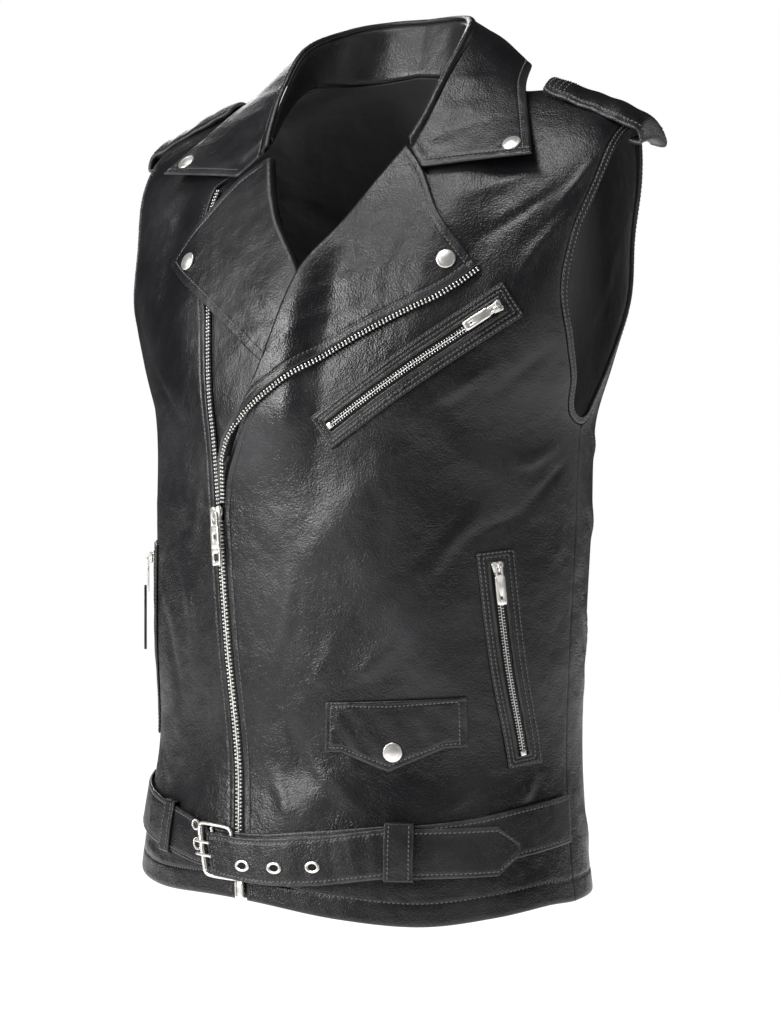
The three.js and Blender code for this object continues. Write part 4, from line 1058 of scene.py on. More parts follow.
def stand_middle(s, t):
    """The stand: straight from the neckline up to just under the fall's root."""
    s, t = together(s, t)
    fold, neck, _, high, stand, flat = collar_frame(s)
    root = fold - flat * TURN - stand * (2.4 * high + 2 * SEAM)
    return lerp(neck, root, t[..., None])


def offset(middle, s, t, h, low=-1):
    """A point of a two-way surface moved h along the cross product of its slopes."""
    s, t, h = together(s, t, h)
    e = 0.006
    du = middle(np.clip(s + e, low, 1), t) - middle(np.clip(s - e, low, 1), t)
    dv = middle(s, np.clip(t + e, 0, 1)) - middle(s, np.clip(t - e, 0, 1))
    return middle(s, t) + unit(np.cross(du, dv)) * h[..., None]


# Wrinkles of the collar's fall by s, t: s, t, width in s, width in t, height
COLLAR_WRINKLES = [
    [0.93, 0.3, 0.02, 0.16, 0.9], [0.88, 0.36, 0.016, 0.2, -0.8], [0.83, 0.34, 0.02, 0.22, 0.9],
    [0.72, 0.45, 0.03, 0.3, 0.7], [0.6, 0.55, 0.03, 0.3, -0.5], [0.45, 0.5, 0.04, 0.3, 0.6],
    [0.2, 0.6, 0.05, 0.3, 0.5], [-0.1, 0.55, 0.04, 0.3, -0.5], [-0.35, 0.5, 0.04, 0.3, 0.6],
    [-0.55, 0.55, 0.03, 0.3, 0.5], [-0.7, 0.42, 0.026, 0.28, -0.6], [-0.8, 0.35, 0.02, 0.24, 0.9],
    [-0.865, 0.32, 0.016, 0.2, -0.9], [-0.915, 0.3, 0.018, 0.18, 1.1], [-0.955, 0.34, 0.014, 0.16, -0.8],
]


def collar_wrinkles(s, t):
    """Soft wrinkles across the fall: bells in both directions."""
    total = 0
    for ws, wt, ds, dt, height in COLLAR_WRINKLES:
        total = total + height * np.exp(-(((s + 0.05 * (t - wt) - ws) / ds) ** 2) - (((t - wt) / dt) ** 2))
    return total


COLLAR_STITCH = 6.6


def collar_fall():
    """The turned-down collar with its pointed ends."""
    turn = np.linspace(0, TURN_SHARE, 13)
    t = np.concatenate([turn, TURN_SHARE + (1 - TURN_SHARE) * lines(75, 2.1, False, True)[1:]])[:, None]
    s = (lines(520, 2.4) * 2 - 1)[None]
    s, t = np.broadcast_arrays(s, t)
    p = fall_middle(s, t)
    root, out, one, other = rims(p)
    ends = np.minimum(one, other)
    d = np.minimum.reduce([root + 0.6, out, ends]) * (root > 0)
    full = rounded(d, 1.5)
    raised = collar_wrinkles(s, t) * smooth(out / 14) * smooth(t * 4)
    dip = (seam_dip(out, COLLAR_STITCH, one, 0.5)
           + seam_dip(ends, COLLAR_STITCH, root, 0.5)) * (t > TURN_SHARE)
    outer = offset(fall_middle, s, t, raised + full * (1.3 + dip))
    inner = offset(fall_middle, s, t, raised - full * 1.3)
    d = np.minimum(out, ends)
    return shell("collar_fall", outer, inner, [LEATHER], edge_wear_and_highlight(d, 0.8 * seam_ridge(d) + 0.4 * raised))


STAND_END = 15 / 16


def collar_stand():
    """The stand inside the collar, with a slight ripple; the row of stitching along its foot is not made."""
    s = ((lines(420, 3) * 2 - 1) * STAND_END)[None]
    t = np.linspace(0, 1, 16)[:, None]
    s, t = np.broadcast_arrays(s, t)
    d = np.minimum.reduce(rims(stand_middle(s, t)))
    full = rounded(d, 1.0)
    ripple = 0.5 * np.sin(s * 23) * np.sin(t * np.pi) * np.sin(s * 9 + 1)
    outer, inner = (offset(stand_middle, s, t, ripple + full * half) for half in (1.1, -1.1))
    return shell("collar_stand", outer, inner, [LEATHER], edge_wear_and_highlight(d, 0 * d))


# Armhole bindings
BAND_STEPS = 150
BINDING_STITCH = 1.5  # mm from the band's middle line to its two stitched lines


def binding_path(sign):
    """Middle line and normals of an armhole's binding: up the front's edge, then down the back's."""
    k = np.linspace(0, 1, BAND_STEPS)
    parts, normals = [], []
    for back, key in ((False, k), (True, k[::-1])):
        a, v = arm_line(key, back, BINDING / 2)
        parts.append(lift(sign * a, v, np.full(len(k), -HALF), back))
        normals.append(lift(sign * a, v, np.full(len(k), 3.0), back)
                       - lift(sign * a, v, np.zeros(len(k)), back))
    p = np.concatenate([parts[0][:-1], parts[1][:-1]])
    n = unit(np.concatenate([normals[0][:-1], normals[1][:-1]]))
    for join in (0, BAND_STEPS - 1):
        roll = -join + 6
        p, n = np.roll(p, roll, 0), np.roll(n, roll, 0)
        for _ in range(8):
            p[2:11] = (p[1:10] + p[2:11] * 2 + p[3:12]) / 4
            n[1:12] = unit(n[0:11] + n[1:12] * 2 + n[2:13])
        p, n = np.roll(p, -roll, 0), np.roll(n, -roll, 0)
    return p, n


def binding(side, sign):
    """A folded band round the armhole: a flat rounded section, pressed in along its two stitched lines."""
    p, n = binding_path(sign)
    loop = lambda q: np.concatenate([q[-1:], q, q[:1]])
    along = unit(loop(p)[2:] - loop(p)[:-2])
    across = unit(np.cross(along, n))
    up = unit(np.cross(across, along))
    f = np.linspace(0, 2 * np.pi, 24, endpoint=False)
    x = bend(np.cos(f), 0.55) * BINDING / 2
    y = bend(np.sin(f), 0.6) * (WALL + 1.2) / 2
    far = way_along(p)[:, None]
    press = 1 - 0.16 * np.exp(-(((np.abs(x) - BINDING_STITCH) / 0.5) ** 2))
    pucker = 1 + 0.05 * np.sin(far / 1.7) * np.sin(far / 5.9)
    rings = (p[:, None] + across[:, None] * x[None, :, None] * (1 + 0.04 * np.sin(far / 9))[..., None]
             + up[:, None] * (y[None] * press * pucker)[..., None])
    name = "armhole_binding_" + side
    o = rides(tube(name, rings, LEATHER, np.full(rings.shape[:2], 0.3)), "vest", "leather", name)
    return o, [spaced(p + across * place + up * (HALF + 0.15), up, 3.4, loop=True)
               for place in (-BINDING_STITCH, BINDING_STITCH)]


# Epaulettes: share along, x, z, half width, fall of the side edges below the middle
EPAULETTE = [
    [0, 153, -9.5, 18, 10],
    [0.07, 160, -12, 19.5, 11],
    [0.3, 183, -20, 20.5, 12.5],
    [0.55, 207, -29.3, 21, 12.8],
    [0.72, 223, -36.5, 21, 13],
    [0.83, 232.5, -41.6, 21, 11],
    [0.9, 237.5, -47.5, 20.5, 9],
    [0.95, 239, -58.6, 20, 6],
    [1, 227.4, -57.2, 19, 5],
]
STRAP = 3


def epaulette_middle(sign):
    """The strap's middle layer: arched across, its edges lower than its middle."""
    def middle(s, t):
        share = t * 2 - 1
        x, z, half, fall = (curve(EPAULETTE, s, column) for column in (1, 2, 3, 4))
        sag = 0.8 * np.sin(s * 11 + sign) * np.sin(t * 5) + 0.35 * np.sin(s * 27 + 2 * sign + 3 * t)
        return vec(sign * x, SHOULDER_Y + share * half, z - fall * share * share + sag)
    return middle


EPAULETTE_ROWS = (4, 9.5, 15, 20.5)  # stitched rows across the free end, in mm from it


def epaulette(side, sign):
    """A stitched strap over the shoulder seam; it turns under into the armhole at its outer end."""
    middle = epaulette_middle(sign)
    s = lines(130, 2.0)[None]
    t = lines(46, 2.0)[:, None]
    s, t = np.broadcast_arrays(s, t)
    one, other, start, end = rims(middle(s, t))
    rim = np.minimum(one, other)
    d = np.minimum.reduce([rim, start, end])
    full = rounded(d, 1.5)
    dip = seam_dip(rim, 4, start, 0.45) + sum(seam_dip(start, row, one, 0.4, 1.0) * smooth((rim - 3) / 2)
                                               for row in EPAULETTE_ROWS)
    outer = offset(middle, s, t, sign * full * (STRAP / 2 + dip), 0)
    inner = offset(middle, s, t, -sign * full * STRAP / 2, 0)
    o = shell("epaulette_" + side, outer, inner, [STRAP_LEATHER], edge_wear_and_highlight(d, 0.6 * seam_ridge(d)))
    seams = []
    width = lambda q: curve(EPAULETTE, q, 3) * 2
    q = np.linspace(0.035, 0.93, 90)
    top = STRAP / 2 - 0.1
    for edge in (-1, 1):
        share = 0.5 + edge * (0.5 - 4 / width(q))
        seams.append(seam(lambda h: offset(middle, q, share, sign * (top + h), 0)))
    for row in EPAULETTE_ROWS:
        t_row = np.linspace(4 / width(0), 1 - 4 / width(0), 30)
        s_row = np.full(30, row / 118)
        seams.append(seam(lambda h: offset(middle, s_row, t_row, sign * (top + h), 0)))
    return o, seams


def surface(x, z, h):
    """A point of the worn front at height h over its leather."""
    return at(x, z, np.asarray(h) + worn(x, z))


def frame_on(x, z, h, dx, dz):
    """Place, along, across and up on the front at x, z, looking along (dx, dz)."""
    p = at(x, z, h)
    n = unit(at(x, z, np.asarray(h) + 1) - p)
    t = unit(at(x + dx, z + dz, h) - at(x - dx, z - dz, h))
    b = unit(np.cross(n, t))
    return p, np.cross(b, n), b, n


def put(f, along, across, up):
    """A point given along, across and up in a frame."""
    p, t, b, n = f
    along, across, up = (q[..., None] for q in together(along, across, up))
    return p + t * along + b * across + n * up


# Zip pockets
POCKET_WIDE, POCKET_SLOT, POCKET_MARGIN, SLOT_END = 30, 9, 11, 2
# Section of a welt: share from the slot (0) to the outer rim (1), height
WELT = [[0.06, 0.7], [-0.01, 1.3], [-0.02, 2.1], [0.03, 2.75], [0.1, 2.95], [0.19, 2.7], [0.25, 2.05],
        [0.28, 2.0], [0.33, 2.3], [0.42, 2.36], [0.47, 2.0], [0.5, 1.92], [0.53, 2.0], [0.6, 2.3],
        [0.74, 2.28], [0.8, 1.92], [0.83, 1.84], [0.86, 1.92], [0.92, 2.05], [0.98, 1.7], [1.0, 1.0],
        [0.96, 0.4]]
WELT_STITCH = (0.5, 0.83)


def pocket_place(ends):
    """A function for a pocket's point by way along its slot, way across and height, and the slot's length."""
    (x0, z0), (x1, z1) = ends
    length = math.hypot(x1 - x0, z1 - z0)
    ux, uz = (x1 - x0) / length, (z1 - z0) / length

    def place(along, across, h):
        x, z = x0 + ux * along, z0 + uz * along
        q = put(frame_on(x, z, 0 * x, ux * length / 50, uz * length / 50), 0, across, 0)
        x, z = q[..., 0], q[..., 2]
        return at(x, z, np.asarray(h) + folds(x, z) + overlap(x, z))
    return place, length


def welt_line(length, share):
    """A pocket's rounded rectangle between the slot (share 0) and the rim (share 1): along and across."""
    side, end = np.linspace(0, 1, 70), np.linspace(-1, 1, 16)[1:-1]
    along = np.concatenate([side, np.ones(14), side[::-1], np.zeros(14)])
    across = np.concatenate([np.ones(70), -end, -np.ones(70), end])
    reach_out = lerp(SLOT_END, POCKET_MARGIN, share)
    half = lerp(POCKET_SLOT, POCKET_WIDE, share) / 2
    corner = 1 - 0.04 * smooth((np.abs(across) - 0.6) / 0.4) * ((along < 0.01) | (along > 0.99))
    return lerp(-reach_out, length + reach_out, along), across * half * corner


def pocket_welt(name, ends):
    """The stitched frame of a zip pocket: the welt's section carried round the slot."""
    place, length = pocket_place(ends)
    rings = []
    for share, h in WELT:
        along, across = welt_line(length, share)
        lip = np.exp(-(((share - 0.1) / 0.12) ** 2))
        wave = 0.22 * np.sin(along / 5.3) * np.sin(along / 13 + across) * lip
        rings.append(place(along, across + np.sign(across) * wave * 2, h + wave))
    rings = np.stack(rings, 1)
    shares = np.array([share for share, _ in WELT])
    edge_grey = 0.9 * np.exp(-((shares - 0.1) / 0.1) ** 2) + 0.5 * np.exp(-((shares - 0.95) / 0.06) ** 2)
    o = tube(name + "_welt", rings, LEATHER, np.broadcast_to(edge_grey, rings.shape[:2]))
    rides(o, "vest", "leather", name + "_welt")
    seams = []
    for share in WELT_STITCH:
        along, across = welt_line(length, share)
        seams.append(seam(lambda h: place(along, across, h + 2.0), 3.3, loop=True))
    return o, seams


# Teeth: rings along a tooth from its head to its leg: place across, half length along the chain, low, high
TOOTH = [[-0.8, 0.4, -0.5, 0.9], [-0.62, 0.7, -0.8, 1.2], [0.3, 0.72, -0.8, 1.25], [0.5, 0.5, -0.7, 0.95],
         [0.7, 0.34, -0.6, 0.3], [1.4, 0.34, -0.6, 0.3], [1.65, 0.6, -0.9, 0.95], [1.85, 0.74, -1.0, 1.2],
         [2.6, 0.74, -1.0, 1.2], [2.9, 0.4, -0.7, 0.8]]


def tooth(scale, side, shift=0.0):
    """One zip tooth: a bar with a rounded head and a wider leg, as rings of eight points."""
    rings = []
    for across, half, low, high in TOOTH:
        soft = 0.35
        ring = [[-half, low + soft], [-half + soft * 0.6, low], [half - soft * 0.6, low], [half, low + soft],
                [half, high - soft], [half - soft * 0.6, high], [-half + soft * 0.6, high],
                [-half, high - soft]]
        rings.append([[x * scale, side * (across * scale) + shift, y * scale] for x, y in ring])
    return lofted(rings)


TOOTH_PITCH = 3.0


def chain(name, line, side, shift, start=0.5):
    """A row of teeth along a line, sunk a little below it."""
    p, t, b, n = spaced(*run(line), TOOTH_PITCH, start)
    o = stamp(name, tooth(1.0, side, shift), [(p - n * 0.1, t, b, n)], [TEETH])
    return rides(o, "vest", "teeth", name)


def strip(name, line, near, far, low, high, *replaced):
    """A flat tape along a line: a rounded section between two distances across."""
    p, n = run(line)
    _, b, n = frames(p, n)
    middle = (low + high) / 2
    ring = np.array([[near, low], [far, low], [far + 0.01, middle], [far, high], [near, high],
                     [near - 0.01, middle]])
    rings = p[:, None] + b[:, None] * ring[None, :, :1] + n[:, None] * ring[None, :, 1:]
    return rides(tube(name, rings, TAPE, closed=False), "vest", "tape", *replaced)


def closed_line(h):
    z = np.linspace(-637, SLIDER_Z + 1, 160)
    return at(zip_x(z), z, h)


def open_right_line(h):
    z = np.linspace(SLIDER_Z + 10, -89, 160)
    return at(zip_x(z), z, h)


LEFT_TEETH = resample([[-49.9, -338], [-49.4, -322], [-48.3, -308], [-31.6, -278.8], [16.2, -241.3],
                       [59.5, -214.4], [99.4, -192.8], [128.6, -177.8], [151, -159.5]], 17)


def open_left_line(h):
    x, z = pick(LEFT_TEETH, np.linspace(0, 1, 160))
    return at(x, z, h + overlap(x, z) + lerp(0, LAPEL_LEFT["edge"], smooth((z + 335) / 50)))


def main_zip():
    """Tapes and teeth of the front zip: closed below the slider, open above it on both sides."""
    whole_right = lambda h: np.concatenate([closed_line(h), open_right_line(h)])
    return [
        strip("zip_tape_right", whole_right, 0.15, 4.3, -2.7, -1.9, "zip_tape_right"),
        strip("zip_tape_left", closed_line, -4.3, -0.15, -2.7, -1.9, "zip_tape_left"),
        strip("zip_tape_open_left", open_left_line, -1.0, 6.5, -1.7, -0.9),
        chain("zip_chain_right", closed_line, 1, 0.2, 0.25),
        chain("zip_chain_left", closed_line, -1, -0.2, 0.75),
        chain("zip_chain_open_right", open_right_line, 1, -0.6),
        chain("zip_chain_open_left", open_left_line, -1, 1.0),
    ]


def ring_outline(points, steps=6):
    """An outline through corner points, rounded by averaging it with its neighbours twice."""
    p = np.asarray(points, float)
    far = np.linspace(0, 1, steps, endpoint=False)[:, None]
    q = np.concatenate([lerp(a, b, far) for a, b in zip(p, np.roll(p, -1, 0))])
    for _ in range(2):
        q = (np.roll(q, 1, 0) + 2 * q + np.roll(q, -1, 0)) / 4
    return q


def slab(outline, low, high, soft, f):
    """Rings of a flat piece from its outline: up the side, over a soft rim and in over the top."""
    centre = outline.mean(0)
    way = outline - centre
    size = np.linalg.norm(way, axis=1, keepdims=True)
    inset = lambda d: centre + way * (1 - d / size)
    levels = [(soft * 0.7, low), (0, low + soft * 0.6), (0, high - soft), (soft * 0.35, high - soft * 0.3),
              (soft, high)]
    return [put(f, *inset(d).T, np.full(len(outline), h)) for d, h in levels]


def pierced(outline, hole, low, high, soft, f):
    """Rings of a flat piece with a hole: down inside the hole and up round the rim, all edges softened."""
    k = soft * 0.12
    section = [(0, low + soft), (0, high - soft), (k, high), (1 - k, high), (1, high - soft), (1, low + soft),
               (1 - k, low), (k, low)]
    return np.stack([put(f, *lerp(outline, hole, q).T, np.full(len(outline), h)) for q, h in section], 1)


MAIN_PULL = {"long": 13, "wide": 11, "tab": 38, "tab_wide": 9.6, "low": 1.4, "window": True}
POCKET_PULL = {"long": 9, "wide": 8.5, "tab": 27, "tab_wide": 7.6, "low": 2.8, "window": False}


def rod_rings(path, radius, flat=1.0, sides=10, loop=False):
    """Rings of a round or flattened rod along a path, each square to it."""
    path = np.asarray(path, float)
    ahead = unit((np.roll(path, -1, 0) - np.roll(path, 1, 0)) if loop else np.gradient(path, axis=0))
    guide = np.array([0.3, -1.0, 0.1])
    side = unit(np.cross(ahead, np.broadcast_to(guide, ahead.shape)))
    up = np.cross(side, ahead)
    f = np.linspace(0, 2 * np.pi, sides, endpoint=False)
    return (path[:, None] + side[:, None] * (np.cos(f) * radius)[None, :, None]
            + up[:, None] * (np.sin(f) * radius * flat)[None, :, None])


def smooth_path(points, steps, loop=False):
    """A curve through points: cubic pieces whose slopes come from each point's neighbours."""
    p = np.asarray(points, float)
    if loop:
        p = np.concatenate([p[-2:], p, p[:3]])
    far = way_along(p)
    rows = np.column_stack([far, p])
    first, last = (far[2], far[-3]) if loop else (0, far[-1])
    q = np.linspace(first, last, steps, endpoint=not loop)
    return np.stack([curve(rows, q, i + 1) for i in range(3)], -1)


def slider(name, f, size):
    """A zip slider: a shield-shaped plate on a post, two flanges below and an arched bridge on top."""
    long, wide, low = size["long"], size["wide"], size["low"]
    nose, tail, half = -long * 0.62, long * 0.38, wide / 2
    base = low + 3.4
    lower = [[nose, -half * 0.55], [nose * 0.8, -half], [nose * 0.25, -half], [0, -half * 0.72],
             [tail * 0.9, -half * 0.66]]
    shield = ring_outline([*lower, [tail, 0], *([x, -y] for x, y in reversed(lower)), [nose * 0.86, 0]], 5)
    top = lofted(slab(shield, base - 1.5, base, 0.5, f))
    under = lofted(slab(shield * 0.94, low - 0.6, low + 0.7, 0.3, f))
    post = lofted(slab(shield * np.array([0.5, 0.25]), low, base - 1.2, 0.2, f))
    x = np.linspace(0, np.pi, 14)
    arch = put(f, lerp(nose * 0.62, tail * 0.7, x / np.pi), 0 * x, base - 0.4 + np.sin(x) ** 0.6 * 2.9)
    bridge = lofted(rod_rings(arch, 0.8, 1.0, 8))
    along, across = np.linspace(nose * 0.75, tail * 0.8, 10), half * np.linspace(0.92, 0.6, 10)
    guides = [put(f, along, side * across, np.full(10, low + 1.5)) for side in (-1, 1)]
    return metal(name, top, under, post, bridge, *(lofted(rod_rings(line, 0.7, 1.6, 8)) for line in guides))


def rounded_box(x0, x1, y0, y1, steps=6):
    """Corner-rounded rectangle outline with the same count of points whatever its size."""
    x, y = (x0 + x1) / 2, (y0 + y1) / 2
    return ring_outline([[x0, y0], [x, y0], [x1, y0], [x1, y], [x1, y1], [x, y1], [x0, y1], [x0, y]], steps)


def pull_tab(name, f, size, body_name):
    """A pull tab: plates with an eye at the bridge and a square hole, the main one also with a window."""
    half, tab, low = size["tab_wide"] / 2, size["tab"], size["low"]
    eye = low + 3.4 + 0.35
    start = -size["long"] * 0.3
    neck = rounded_box(start, tab * 0.24, -half * 0.8, half * 0.8)
    hook = rounded_box(start * 0.35, tab * 0.15, -half * 0.36, half * 0.36)
    plates = [(neck, hook, 0.12, 1.35)]
    if size["window"]:
        middle = rounded_box(tab * 0.2, tab * 0.66, -half * 0.97, half * 0.97)
        square = rounded_box(tab * 0.37, tab * 0.46, -half * 0.22, half * 0.22)
        foot = rounded_box(tab * 0.6, tab, -half, half)
        window = rounded_box(tab * 0.76, tab * 0.91, -half * 0.5, half * 0.5)
        plates += [(middle, square, 0, 1.5), (foot, window, 0.1, 1.4)]
    else:
        plate = rounded_box(tab * 0.2, tab, -half, half)
        square = rounded_box(tab * 0.76, tab * 0.84, -half * 0.22, half * 0.22)
        plates.append((plate, square, 0, 1.5))
    pieces = [closed_ring(pierced(a, b, eye + under, eye + over, 0.3, f)) for a, b, under, over in plates]
    return metal(name, *pieces, body_name=body_name)


# Coin pocket flap
FLAP_X = (51.5, 148.5)
FLAP_TOP = (-484.5, -478)
FLAP_STITCH = 4.6
FLAP_STAND = (2.9, 2.0)  # how far the flap's middle layer stands off at its lower edge and at its top


def flap_point(u, v, h):
    """The flap by its shares across and up: a straight top, and a lower edge with a point in its middle."""
    x, top = lerp(*FLAP_X, u), lerp(*FLAP_TOP, u)
    drop = 38 + 16 * np.maximum(0, 1 - np.abs(u - 0.5) / 0.36)
    z = top - drop * (1 - v)
    bulge = 0.9 * np.sin(u * np.pi) * np.sin(v * np.pi * 0.9 + 0.2) + 0.5 * np.sin(u * 9 + 1) * (1 - v)
    base = folds(x, z)
    return at(x, z, base + h + bulge)


def coin_flap():
    """A stitched flap that stands a little off the front at its lower edge."""
    u, v = np.meshgrid(lines(92, 1.8), lines(48, 1.8))
    p = flap_point(u, v, 0)
    low, top, one, other = rims(p)
    d = np.minimum.reduce([low, top, one, other])
    full = rounded(d, 1.3)
    rim = np.minimum.reduce([low, one, other])
    dip = seam_dip(rim, FLAP_STITCH, one + low, 0.5) + seam_dip(top, 3.2, one, 0.4)
    ripple = 0.35 * np.sin(u * 31 + 2 * v) * np.sin(v * 7)
    middle = lerp(*FLAP_STAND, v) + ripple * smooth(d / 9)
    outer, inner = flap_point(u, v, middle + full * (1.1 + dip)), flap_point(u, v, middle - full * 0.9)
    o = shell("coin_flap", outer, inner, [STRAP_LEATHER], edge_wear_and_highlight(rim, 0.9 * seam_ridge(rim) + ripple))
    inset_u, inset_v = FLAP_STITCH / 92, FLAP_STITCH / 46
    u = np.linspace(inset_u, 1 - inset_u, 90)
    side = np.linspace(1 - 3.4 / 40, inset_v, 24)
    path_u = np.concatenate([np.full(24, inset_u), u, np.full(24, 1 - inset_u)])
    path_v = np.concatenate([side, np.full(90, inset_v * 0.92), side[::-1]])
    across_v = np.full(90, 1 - 3.4 / 42)
    height = lambda v: lerp(*FLAP_STAND, v) + 0.95
    return o, [seam(lambda h: flap_point(path_u, path_v, height(path_v) + h), 3.3),
               seam(lambda h: flap_point(u, across_v, height(across_v) + h), 3.3)]


# Belt: width; degrees that the buckle leans to each side of upright
BELT, LEAN = 36.5, 2
DEGREE = 2.45  # mm round the front for a turn of one degree
# Turn in degrees and height of the middle, for the under strap and for the part that comes back over it
UNDER_STRAP = [[-90, -581], [-60, -588], [-30, -596.5], [-12, -604.5], [0, -605], [14, -600], [31, -593.5],
               [39, -592.3], [54, -588], [70, -581.5], [89.6, -577]]
OVER_STRAP = [[-14, -607.7], [0, -608.5], [14, -604], [31, -595.6], [39, -594.9], [50, -594.3], [62, -593.9],
              [70, -592.5]]
LAYER = {"under": 1.8, "thick": 2.0}
# Depth by turn of the part that comes back: it first clears the buckle's far side
OVER_RISE = [[-11, 7.6], [2, 7.4], [13, 5.2], [24, 4.3], [70, 4.3]]
FOLD = -11  # turn of the middle of the strap's fold round the buckle's bar
BELT_STITCH = 3.4
# Wear creases across the strap: turn in degrees, width in degrees, height
STRAP_CREASES = [[-4, 1.2, 0.5], [1, 0.9, -0.5], [9, 1.6, 0.6], [19, 1.2, -0.5], [24, 1.4, 0.7],
                 [29, 1.2, 0.6], [43, 1.4, -0.6], [49, 1.8, 0.6], [56, 1.2, -0.5], [72, 1.6, 0.6],
                 [80, 1.2, -0.5], [-21, 1.4, 0.5], [-45, 1.6, 0.6], [-55, 1.4, -0.5], [-68, 1.6, 0.6],
                 [-80, 1.4, 0.5]]


def belt_point(deg, z, h):
    """A point of the belt by turn in degrees, height and how far out it lies."""
    deg, z, h = together(deg, z, h)
    return lift(np.radians(deg), level_at(0, z), h)


def gather(deg):
    """Share of the strap's width that is left where it runs through the buckle."""
    return 1 - 0.13 * np.exp(-(((deg + 7) / 11) ** 2))


def lean(deg, across):
    """Turn in degrees that a place across the strap moves by, to follow the leaning buckle."""
    return -LEAN * across * np.exp(-(((deg - FOLD) / 7) ** 2)) / (BELT / 2)


def strap_creases(deg, across):
    total = 0
    for place, wide, height in STRAP_CREASES:
        total = total + height * 0.7 * np.exp(-(((deg - place + across * 0.06) / wide) ** 2))
    return total


def long_strap(u, v, layer):
    """The long strap from the side seam to the buckle, half round its bar and back over itself to the
    pointed tip; layer is -1 on its inner face, 0 in the middle and 1 on its outer face."""
    share, turn, t = 0.5, 0.06, LAYER["thick"]
    k1 = np.clip(u / (share - turn), 0, 1)
    k2 = np.clip((u - share + turn) / (2 * turn), 0, 1)
    k3 = np.clip((u - share - turn) / (1 - share - turn), 0, 1)
    first, last = u < share - turn, u > share + turn
    over = curve(OVER_RISE, FOLD, 1)
    middle, r = (LAYER["under"] + over + t) / 2, (over - LAYER["under"]) / 2
    rr = r - layer * t / 2
    round_bar = FOLD - np.sin(k2 * np.pi) * rr / 2.35
    deg = np.where(first, lerp(89.4, FOLD, k1), np.where(last, lerp(FOLD, 68, k3), round_bar))
    bend_z = lerp(curve(UNDER_STRAP, FOLD, 1), curve(OVER_STRAP, FOLD, 1), k2)
    z = np.where(first, curve(UNDER_STRAP, deg, 1), np.where(last, curve(OVER_STRAP, deg, 1), bend_z))
    h = np.where(first, LAYER["under"] + t / 2 + layer * t / 2,
                 np.where(last, curve(OVER_RISE, deg, 1) + t / 2 - layer * t / 2,
                          middle - np.cos(k2 * np.pi) * rr))
    point = np.where(u > 0.96, (u - 0.96) / 0.04, 0)
    across = (v - 0.5) * BELT * gather(deg) * lerp(1, 0.18, point)
    free = np.where(last, smooth(k3 * 8), np.where(first, smooth((deg - 52) / 6), 0))
    sag = strap_creases(deg, across) * free
    return belt_point(deg + lean(deg, across), z + across, h + sag)


# Grid lines along the long strap: from, to, count
STRAP_STEPS = [[0, 0.44, 120], [0.44, 0.56, 26], [0.56, 0.96, 170], [0.96, 1, 16]]


def belt_left():
    """The long belt strap with stitching along both edges and round the tip."""
    u = np.concatenate([[0], *(np.linspace(low, high, count)[1:] for low, high, count in STRAP_STEPS)])[None]
    v = lines(BELT, 2.2)[:, None]
    u, v = np.broadcast_arrays(u, v)
    one, other, start, end = rims(long_strap(u, v, 0 * u))
    rim = np.minimum(one, other)
    tip = np.where(u > 0.6, end, 99)
    d = np.minimum.reduce([rim, start, end])
    full = rounded(d, 1.0)
    dip = seam_dip(np.minimum(rim, tip), BELT_STITCH, start, 0.45) * 0.9
    returned = u > 0.5
    press = 1 + dip * 0.8
    outer_face, inner_face = np.where(returned, 1, press), np.where(returned, press, 1)
    outer, inner = long_strap(u, v, full * outer_face), long_strap(u, v, -full * inner_face)
    o = shell("belt_left", outer, inner, [STRAP_LEATHER],
              edge_wear_and_highlight(np.minimum(rim, tip), 0.9 * seam_ridge(rim)))
    seams = []
    inset = BELT_STITCH / BELT
    for v0 in (inset, 1 - inset):
        low, high = np.linspace(0.0, 0.2, 60), np.linspace(0.57, 0.956, 200)
        seams.append(seam(lambda h: long_strap(low, np.full(60, v0), 1 + h * 0.5)))
        seams.append(seam(lambda h: long_strap(high, np.full(200, v0), -1 - h * 0.5)))
    for v0 in (inset, 1 - inset):
        tip_u = np.linspace(0.956, 0.986, 24)
        seams.append(seam(lambda h: long_strap(tip_u, np.full(24, v0), -1 - h * 0.5)))
    across = np.linspace(inset, 1 - inset, 24)
    seams.append(seam(lambda h: long_strap(np.full(24, 0.563), across, -1 - h * 0.5)))
    return o, seams


def short_strap(u, v, h):
    """The short strap from the right side seam to under the buckle's near bar."""
    deg = lerp(-89.4, -13.6, u)
    across = (v - 0.5) * BELT * 0.96 * gather(deg)
    crease = 0.8 * strap_creases(deg, across) * smooth(u * 6) * smooth((1 - u) * 5)
    return belt_point(deg + lean(deg, across), curve(UNDER_STRAP, deg, 1) + across, h + crease)


def belt_right():
    """The short strap from the right side seam to the buckle."""
    u, v = np.meshgrid(lines(175, 2.4), lines(BELT, 2.2))
    one, other, start, end = rims(short_strap(u, v, 0 * u))
    rim = np.minimum(one, other)
    d = np.minimum.reduce([rim, start, end])
    full = rounded(d, 1.0)
    half, middle = LAYER["thick"] / 2, LAYER["under"] + LAYER["thick"] / 2
    dip = seam_dip(rim, BELT_STITCH, start, 0.45) + seam_dip(end, 8, one, 0.4)
    outer = short_strap(u, v, middle + full * (half + dip * 0.9))
    inner = short_strap(u, v, middle - full * half)
    o = shell("belt_right", outer, inner, [STRAP_LEATHER], edge_wear_and_highlight(rim, 0.9 * seam_ridge(rim)))
    top = middle + half - 0.12
    q = np.linspace(0.01, 0.99, 120)
    inset = BELT_STITCH / BELT
    seams = [seam(lambda h: short_strap(q, np.full(120, v0), top + h)) for v0 in (inset, 1 - inset)]
    across = np.linspace(inset, 1 - inset, 24)
    seams.append(seam(lambda h: short_strap(np.full(24, 1 - 8 / 175), across, top + h)))
    return o, seams


LOOP_DEGREE = 2.5  # mm round the straps for a turn of one degree


